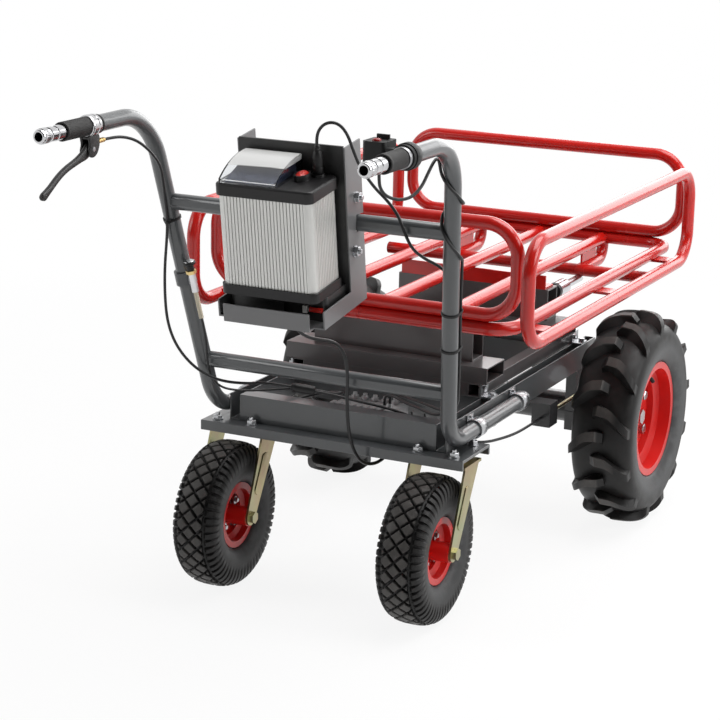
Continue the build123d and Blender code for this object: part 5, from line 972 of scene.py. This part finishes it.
def caseShell():
    flatX = case.halfX - case.corner
    flatY = case.halfY - case.corner
    loop = np.concatenate([
        caseSide((case.halfX, 0), (0, 1), 2 * flatY, case.ribsY), caseCorner((flatX, flatY), 0),
        caseSide((0, case.halfY), (-1, 0), 2 * flatX, case.ribsX), caseCorner((-flatX, flatY), 90),
        caseSide((-case.halfX, 0), (0, -1), 2 * flatY, case.ribsY), caseCorner((-flatX, -flatY), 180),
        caseSide((0, -case.halfY), (1, 0), 2 * flatX, case.ribsX), caseCorner((flatX, -flatY), 270)])
    heights = np.array((case.low, case.high))
    flat = np.broadcast_to(loop + (case.x, 0), (len(heights), *loop.shape))
    up = np.broadcast_to(heights[:, None, None], (*flat.shape[:2], 1))
    return leanBack(np.concatenate([flat, up], axis=-1))


makePiece("case_shell", caseShell(), caseLook, "chassis", sharp=30,
          standsFor=["battery_case"])
print("battery case made")


# bolts on the caster plate and the holder: washer, hexagon and a short stud
boltProfile = mm * np.array([
    (0, 8), (0, 9.6), (1.6, 9.6), (1.7, 7), (1.8, 8.8), (7.4, 8.8), (8.2, 7.8), (8.3, 4.2), (12, 4.2),
    (12.6, 3.4)])
bolt = Values(columns=48, flats=(0.00175, 0.00825))
plateBolts = Values(x=-0.209, y=0.195, z=0.29, stepX=0.04, stepY=0.034)
holderBolts = Values(x=-0.3776, y=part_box("battery_holder")[1].y, z=(0.742, 0.653))


def boltGrid(seat, out):
    return lathe(seat, out, boltProfile, bolt.columns, hexFlats(*bolt.flats))


def plateSeat(side, x, y):
    return (plateBolts.x + x * plateBolts.stepX, side * plateBolts.y + y * plateBolts.stepY,
            plateBolts.z)


boltGrids = [boltGrid(plateSeat(side, x, y), (0, 0, 1))
             for side in (1, -1) for x in (1, -1) for y in (1, -1)]
boltGrids += [boltGrid((holderBolts.x, side * holderBolts.y, z), (0, side, 0))
              for side in (1, -1) for z in holderBolts.z]
makePiece("bolt_sets", boltGrids, zinc, "chassis", sharp=30)
rimBolts = Values(across=0.0025, radius=0.028, count=4, first=45)
forkPad = Values(x=-0.245, z=0.2005, way=(0.4548, 0.8906), length=0.078, width=0.022, face=0.053,
    sunk=0.0012, proud=0.0016, edge=0.0012, columns=96, capColumns=7)


def rimBoltGrids(side):
    # bolts in a ring on both faces of the caster's disc
    spin = joints["caster_spin_" + side]
    angle = np.radians(rimBolts.first) + np.arange(rimBolts.count) * turn / rimBolts.count
    ring = np.stack([np.cos(angle), angle * 0, np.sin(angle)], axis=-1) * rimBolts.radius
    return [boltGrid(spin + spot + (0, way * rimBolts.across, 0), (0, way, 0))
            for way in (1, -1) for spot in ring]


def forkPadGrids(side):
    # a pressing with round ends on the outer face of each fork leg
    way = np.array(forkPad.way)
    square = np.array((way[1], -way[0]))
    half = forkPad.width / 2
    straight = (forkPad.length / 2 - half) * way
    angle = np.radians(np.linspace(-90, 90, forkPad.capColumns))[:, None]
    cap = half * (np.cos(angle) * way + np.sin(angle) * square)
    outline = np.concatenate([straight + cap, -straight - cap]) + (forkPad.x, forkPad.z)
    middle = joints["caster_spin_" + side][1]
    low, high = forkPad.face - forkPad.sunk, forkPad.face + forkPad.proud
    return [roundedPlate(outline, middle + start, middle + end, forkPad.edge, forkPad.columns)
            for start, end in ((low, high), (-high, -low))]


for side in sides:
    makePiece("caster_rim_bolts_" + side, rimBoltGrids(side), zinc, "caster_wheel_" + side, sharp=30)
    makePiece("fork_pressings_" + side, forkPadGrids(side), yellowZinc, "caster_" + side,
              sharp=50)
print("bolts made")


# cables: the routes of the solids as smooth splines
cord = Values(ring=5, steps=10, order=3)


def cable(name, runs, radius, node):
    curve = bpy.data.curves.new(name, "CURVE")
    curve.dimensions = "3D"
    curve.bevel_depth = radius
    curve.bevel_resolution = cord.ring
    curve.resolution_u = cord.steps
    curve.use_fill_caps = True
    for points in runs:
        spline = curve.splines.new("NURBS")
        spline.points.add(len(points) - 1)
        spline.points.foreach_set("co", [value for point in points for value in (*point, 1)])
        spline.order_u = cord.order
        spline.use_endpoint_u = True
    curve.materials.append(sheath.material)
    piece = bpy.data.objects.new(name, curve)
    bpy.context.scene.collection.objects.link(piece)
    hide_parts(node)
    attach(piece, "chassis")


brakeRun = mm * np.array([
    (-541, 277, 824), (-522, 277, 824), (-498, 269, 824), (-469, 259, 815), (-438, 253, 794),
    (-407, 251, 765), (-398.2, 251.2, 732), (-385.5, 255.3, 702), (-376.8, 256.3, 672),
    (-370.6, 260.8, 636), (-366.5, 267.7, 585), (-359.7, 271.8, 535), (-352.1, 272.4, 490),
    (-341.2, 268, 455), (-330.2, 258.3, 428), (-321.6, 242.1, 406), (-315.5, 219.6, 390),
    (-310.9, 190, 380), (-300.9, 150, 378), (-284.5, 106.7, 381.5), (-269.9, 72, 376)])
rightBrakeRun = mm * np.array([
    (-257.6, 32.4, 370), (-247.6, 8.7, 366.3), (-227, -31, 355), (-208, -72, 346), (-184, -109, 331),
    (-162, -140, 313), (-140, -167, 290), (-114, -193, 276), (-79, -216, 269), (-34, -225, 265),
    (16, -233, 262.6), (76, -235, 262), (136, -235, 262)])
leftBrakeRun = mm * np.array([
    (-250.2, 35.6, 370), (-244.1, 21, 367.7), (-234, 8, 364), (-219, 2, 361), (-203, 5, 358),
    (-191, 15, 355), (-183, 32, 351), (-178, 57, 345), (-172, 88, 334), (-162, 121, 319), (-145, 154, 300),
    (-124, 183, 283), (-96, 205, 272), (-58, 223, 267), (-12, 228, 264), (34, 233.5, 262.4), (86, 235, 262),
    (136, 235, 262)])
mainRun = mm * np.array([
    (-440, -20, 548.1), (-437.8, -20, 533.2), (-427.5, -24, 518.6), (-410, -33, 507), (-388, -43, 500),
    (-366, -51, 494), (-344.9, -57, 482), (-324.9, -58, 459), (-315.9, -58.5, 425), (-313.9, -57, 388),
    (-312.9, -58, 349), (-305, -60, 310), (-293, -65, 280), (-276, -73, 261), (-254, -83, 256),
    (-233, -90, 261), (-223, -93, 271), (-223, -93, 285)])
cordRun = mm * np.array([
    (-443.9, -58.3, 831.6), (-446.1, -58.3, 846.4), (-446.5, -66.3, 862.6), (-442.6, -79.3, 870.2),
    (-436.1, -93.3, 867.2), (-428.8, -104, 852.1), (-420, -110, 827.1), (-407.6, -116, 798.6),
    (-392, -134, 765), (-384, -156, 743), (-381.6, -175, 720), (-383.6, -188, 692), (-377.6, -199, 667),
    (-363.2, -216.1, 650), (-345.1, -232, 638), (-329, -241.4, 622), (-317.3, -247.4, 592),
    (-305.5, -244.9, 546), (-293.1, -240, 496), (-281.7, -235.3, 453), (-271.4, -231.2, 417),
    (-262, -222, 382), (-247, -204, 360), (-226, -174, 351), (-202, -140, 351), (-178, -106, 348),
    (-157, -74, 351), (-145, -55, 349), (-140, -46, 341), (-140, -46, 328)])
shiftRun = mm * np.array([
    (-328.9, 217, 492.7), (-324, 215.1, 473.4), (-317.9, 214, 446), (-310.9, 216, 416), (-303.9, 215, 386),
    (-287.9, 204, 362), (-264, 188, 352), (-239, 162, 349), (-216, 132, 350), (-192, 110, 350),
    (-166, 99, 342), (-142, 94, 322), (-121, 91, 299), (-96, 88, 279), (-62, 83, 268), (-18, 77, 264),
    (30, 70, 263), (84, 61, 263.5), (138, 49, 265), (186, 33, 266), (220, 20, 269), (246.8, 14, 266.5),
    (265.4, 14, 254.9)])
controlStart = mm * np.array([
    (-557.7, -222, 825.6), (-557.7, -222, 810.6), (-550.7, -221, 793.6), (-536.7, -226, 779.6),
    (-518.7, -239, 772.6), (-498.7, -251, 775.6), (-477.7, -257, 788.6), (-456.7, -258, 807.6),
    (-436.7, -258, 822.6), (-418.7, -256, 825.6)])
controlEnd = mm * np.array([
    (-330, -266.4, 622), (-320.3, -262, 588), (-308.6, -257.3, 544), (-296.7, -253, 496),
    (-285.1, -248.2, 453), (-273.4, -243.2, 417), (-254, -235, 384), (-238, -214, 365), (-216, -182, 358),
    (-192, -146, 357), (-168, -110, 354), (-145, -77, 353), (-131, -58, 350), (-126, -50, 341),
    (-126, -50, 328)])
handle = Values(foot=(-0.266, -0.2241, 0.314), top=(-0.404, -0.277, 0.852), rear=(-0.557, -0.277, 0.852),
    bend=0.105)
coil = Values(points=14, step=45, start=0.15944, radius=0.0184, long=0.018, short=0.007, turnOf=8)


def handleAt(travel):
    # place and direction on the right handle, measured from where the tube steps down to its grip
    foot, top, rear = (np.array(handle[key]) for key in ("foot", "top", "rear"))
    upright = (top - foot) / np.linalg.norm(top - foot)
    backwards = (rear - top) / np.linalg.norm(rear - top)
    corner = math.acos(upright @ backwards)
    square = (upright - backwards * math.cos(corner)) / math.sin(corner)
    straight = np.linalg.norm(rear - top) - handle.bend * math.tan(corner / 2)
    angle = np.clip((travel - straight) / handle.bend, 0, corner)
    direction = backwards * math.cos(angle) + square * math.sin(angle)
    bent = handle.bend * (backwards * math.sin(angle) + square * (1 - math.cos(angle)))
    over = max(travel - straight - corner * handle.bend, 0)
    return rear - backwards * min(travel, straight) - bent - upright * over, direction


def coilTurns():
    # turns round the handle at an even angle, each with a long half and a short half
    points = []
    travel = coil.start
    for number in range(coil.points):
        spot, along = handleAt(travel)
        inwards = np.array((0, 1, 0)) - along * along[1]
        inwards /= np.linalg.norm(inwards)
        wrap = math.radians(coil.step * number)
        around = inwards * math.cos(wrap) + np.cross(along, inwards) * math.sin(wrap)
        points.append(spot + around * coil.radius)
        travel += coil.long if number % coil.turnOf < coil.turnOf / 2 else coil.short
    return points


controlRun = np.concatenate([controlStart, coilTurns(), controlEnd])
cable("control_lead", [controlRun], 0.0026, "control_cable")
cable("main_lead", [mainRun], 0.003, "main_cable")
cable("shift_lead", [shiftRun], 0.002, "shift_cable")
cable("brake_leads", [brakeRun, rightBrakeRun, leftBrakeRun], 0.0025, "brake_cable")
cable("battery_lead", [cordRun], 0.0026, "battery_cord")

splitter = Values(start=(-0.26988, 0.072, 0.376), end=(-0.25388, 0.034, 0.37), columns=40)
splitterWay = np.array(splitter.end) - splitter.start
splitterNear = mm * np.array([(-0.5, 4), (0, 5.8), (4, 6.4), (5.5, 7.8), (7.5, 8)])
splitterFar = mm * np.array([(-3.5, 8), (-1, 7.4), (0, 6)]) + (np.linalg.norm(splitterWay), 0)
splitterProfile = np.concatenate([splitterNear, splitterFar])
makePiece("cable_splitter", lathe(splitter.start, splitterWay, splitterProfile, splitter.columns),
          blackPlastic, "chassis", sharp=40)

plug = Values(foot=(-0.436, -0.05829, 0.78), columns=96)
plugProfile = mm * np.array([
    (0, 8), (1, 8.5), (11, 8.5), (11.6, 7.8), (13, 7.8), (13.6, 8.5), (27, 8.3), (33.5, 7.2), (36.5, 5.6),
    (37.2, 5.2), (37.8, 4.6), (39.2, 4.6), (39.8, 5.1), (41.2, 5), (41.8, 4.4), (43.2, 4.4), (43.8, 4.8),
    (45.2, 4.6), (45.8, 4), (47, 3.8), (47.4, 3)])
plugGrid = leanBack(lathe(plug.foot, (0, 0, 1), plugProfile, plug.columns))
makePiece("battery_plug", plugGrid, blackPlastic, "chassis", sharp=40)
print("held cables made")


# stage, light and camera
shot = Values(place=(-3.531, -1.6267, 1.3842), yaw=25.68, pitch=14.61, roll=1.25, lens=110.25, sensor=36,
    far=200)
floorLook = Values(half=40.0, colour=0.9, white=0.89, near=1.2, far=2.6, rough=0.9, shine=0.1)
room = Values(fill=0.46, dark=0.06, darkFrom=-0.15, darkTo=0.45)


def makeStage():
    # the floor looks white, more so further out, and keeps a soft shadow
    half = floorLook.half
    mesh = bpy.data.meshes.new("floor")
    corners = [(-half, -half, 0), (half, -half, 0), (half, half, 0), (-half, half, 0)]
    mesh.from_pydata(corners, [], [(0, 1, 2, 3)])
    floor = bpy.data.objects.new("floor", mesh)
    bpy.context.scene.collection.objects.link(floor)
    look = Look("pale_floor")
    look.set(BaseColor=(floorLook.colour,) * 3, Roughness=floorLook.rough)
    look.fix(Specular_IOR_Level=floorLook.shine)
    white = look.node("Emission", sockets={"Color": (1, 1, 1, 1), "Strength": 1.0})
    away = look.node("VectorMath", {"operation": "LENGTH"}, {0: look.place}, out="Value")
    outer = look.ramp(away, floorLook.near, floorLook.far)
    share = floorLook.white + outer * (1 - floorLook.white)
    look.blendShader(white, look.seen("Is Camera Ray", "Is Glossy Ray", "Is Transmission Ray") * share)
    mesh.materials.append(look.material)


def makeLamp(name, place, aim, size, power):
    light = bpy.data.lights.new(name, "AREA")
    light.shape = "RECTANGLE"
    light.size, light.size_y = size
    light.energy = power
    lamp = bpy.data.objects.new(name, light)
    lamp.location = place
    lamp.rotation_euler = (Vector(aim) - Vector(place)).to_track_quat("-Z", "Y").to_euler()
    bpy.context.scene.collection.objects.link(lamp)


def makeWorld():
    # white to the eye, in glass and in gloss; the side behind the photographer is darker, as a room is
    world = bpy.data.worlds.new("studio")
    world.use_nodes = True
    sky = Nodes(world.node_tree)
    yaw, pitch = math.radians(shot.yaw), math.radians(shot.pitch)
    behind = (-math.cos(yaw) * math.cos(pitch), -math.sin(yaw) * math.cos(pitch), math.sin(pitch))
    facing = sky.along(sky.node("TexCoord", out="Generated"), behind)
    level = 1 - sky.ramp(facing, room.darkFrom, room.darkTo) * (1 - room.dark)
    direct = sky.seen("Is Camera Ray", "Is Transmission Ray")
    glossy = sky.seen("Is Glossy Ray")
    strength = direct + (1 - direct) * level * (room.fill + glossy * (1 - room.fill))
    background = sky.node("Background", sockets={"Color": (1, 1, 1, 1), "Strength": strength})
    output = world.node_tree.nodes.new("ShaderNodeOutputWorld")
    world.node_tree.links.new(background.socket, output.inputs[0])
    bpy.context.scene.world = world


def makeCamera():
    yaw, pitch, roll = (math.radians(shot[key]) for key in ("yaw", "pitch", "roll"))
    look = Vector((math.cos(yaw) * math.cos(pitch), math.sin(yaw) * math.cos(pitch), -math.sin(pitch)))
    level = Vector((math.sin(yaw), -math.cos(yaw), 0))
    above = level.cross(look)
    right = level * math.cos(roll) + above * math.sin(roll)
    up = above * math.cos(roll) - level * math.sin(roll)
    camera = bpy.data.objects.new("camera", bpy.data.cameras.new("camera"))
    camera.data.lens = shot.lens
    camera.data.sensor_width = shot.sensor
    camera.data.clip_end = shot.far
    turned = Matrix((right, up, -look)).transposed().to_4x4()
    camera.matrix_world = Matrix.Translation(shot.place) @ turned
    bpy.context.scene.collection.objects.link(camera)
    bpy.context.scene.camera = camera


softboxes = {  # place, aim, size and power
    "top": ((0.5, -0.9, 3.2), (0, 0, 0.4), (2.4, 2.4), 90),
    "right": ((0.4, -3, 1.9), (0.1, 0, 0.5), (1.6, 1.6), 40),
    "left": ((-2.2, 2.6, 2), (0, 0, 0.5), (1.6, 1.6), 30),
    "back": ((3.2, -0.3, 1.6), (0, 0, 0.5), (3.2, 1.8), 44)}
makeStage()
for name, box in softboxes.items():
    makeLamp(name + "_softbox", *box)
makeWorld()
makeCamera()
bpy.context.scene.view_settings.view_transform = "Standard"
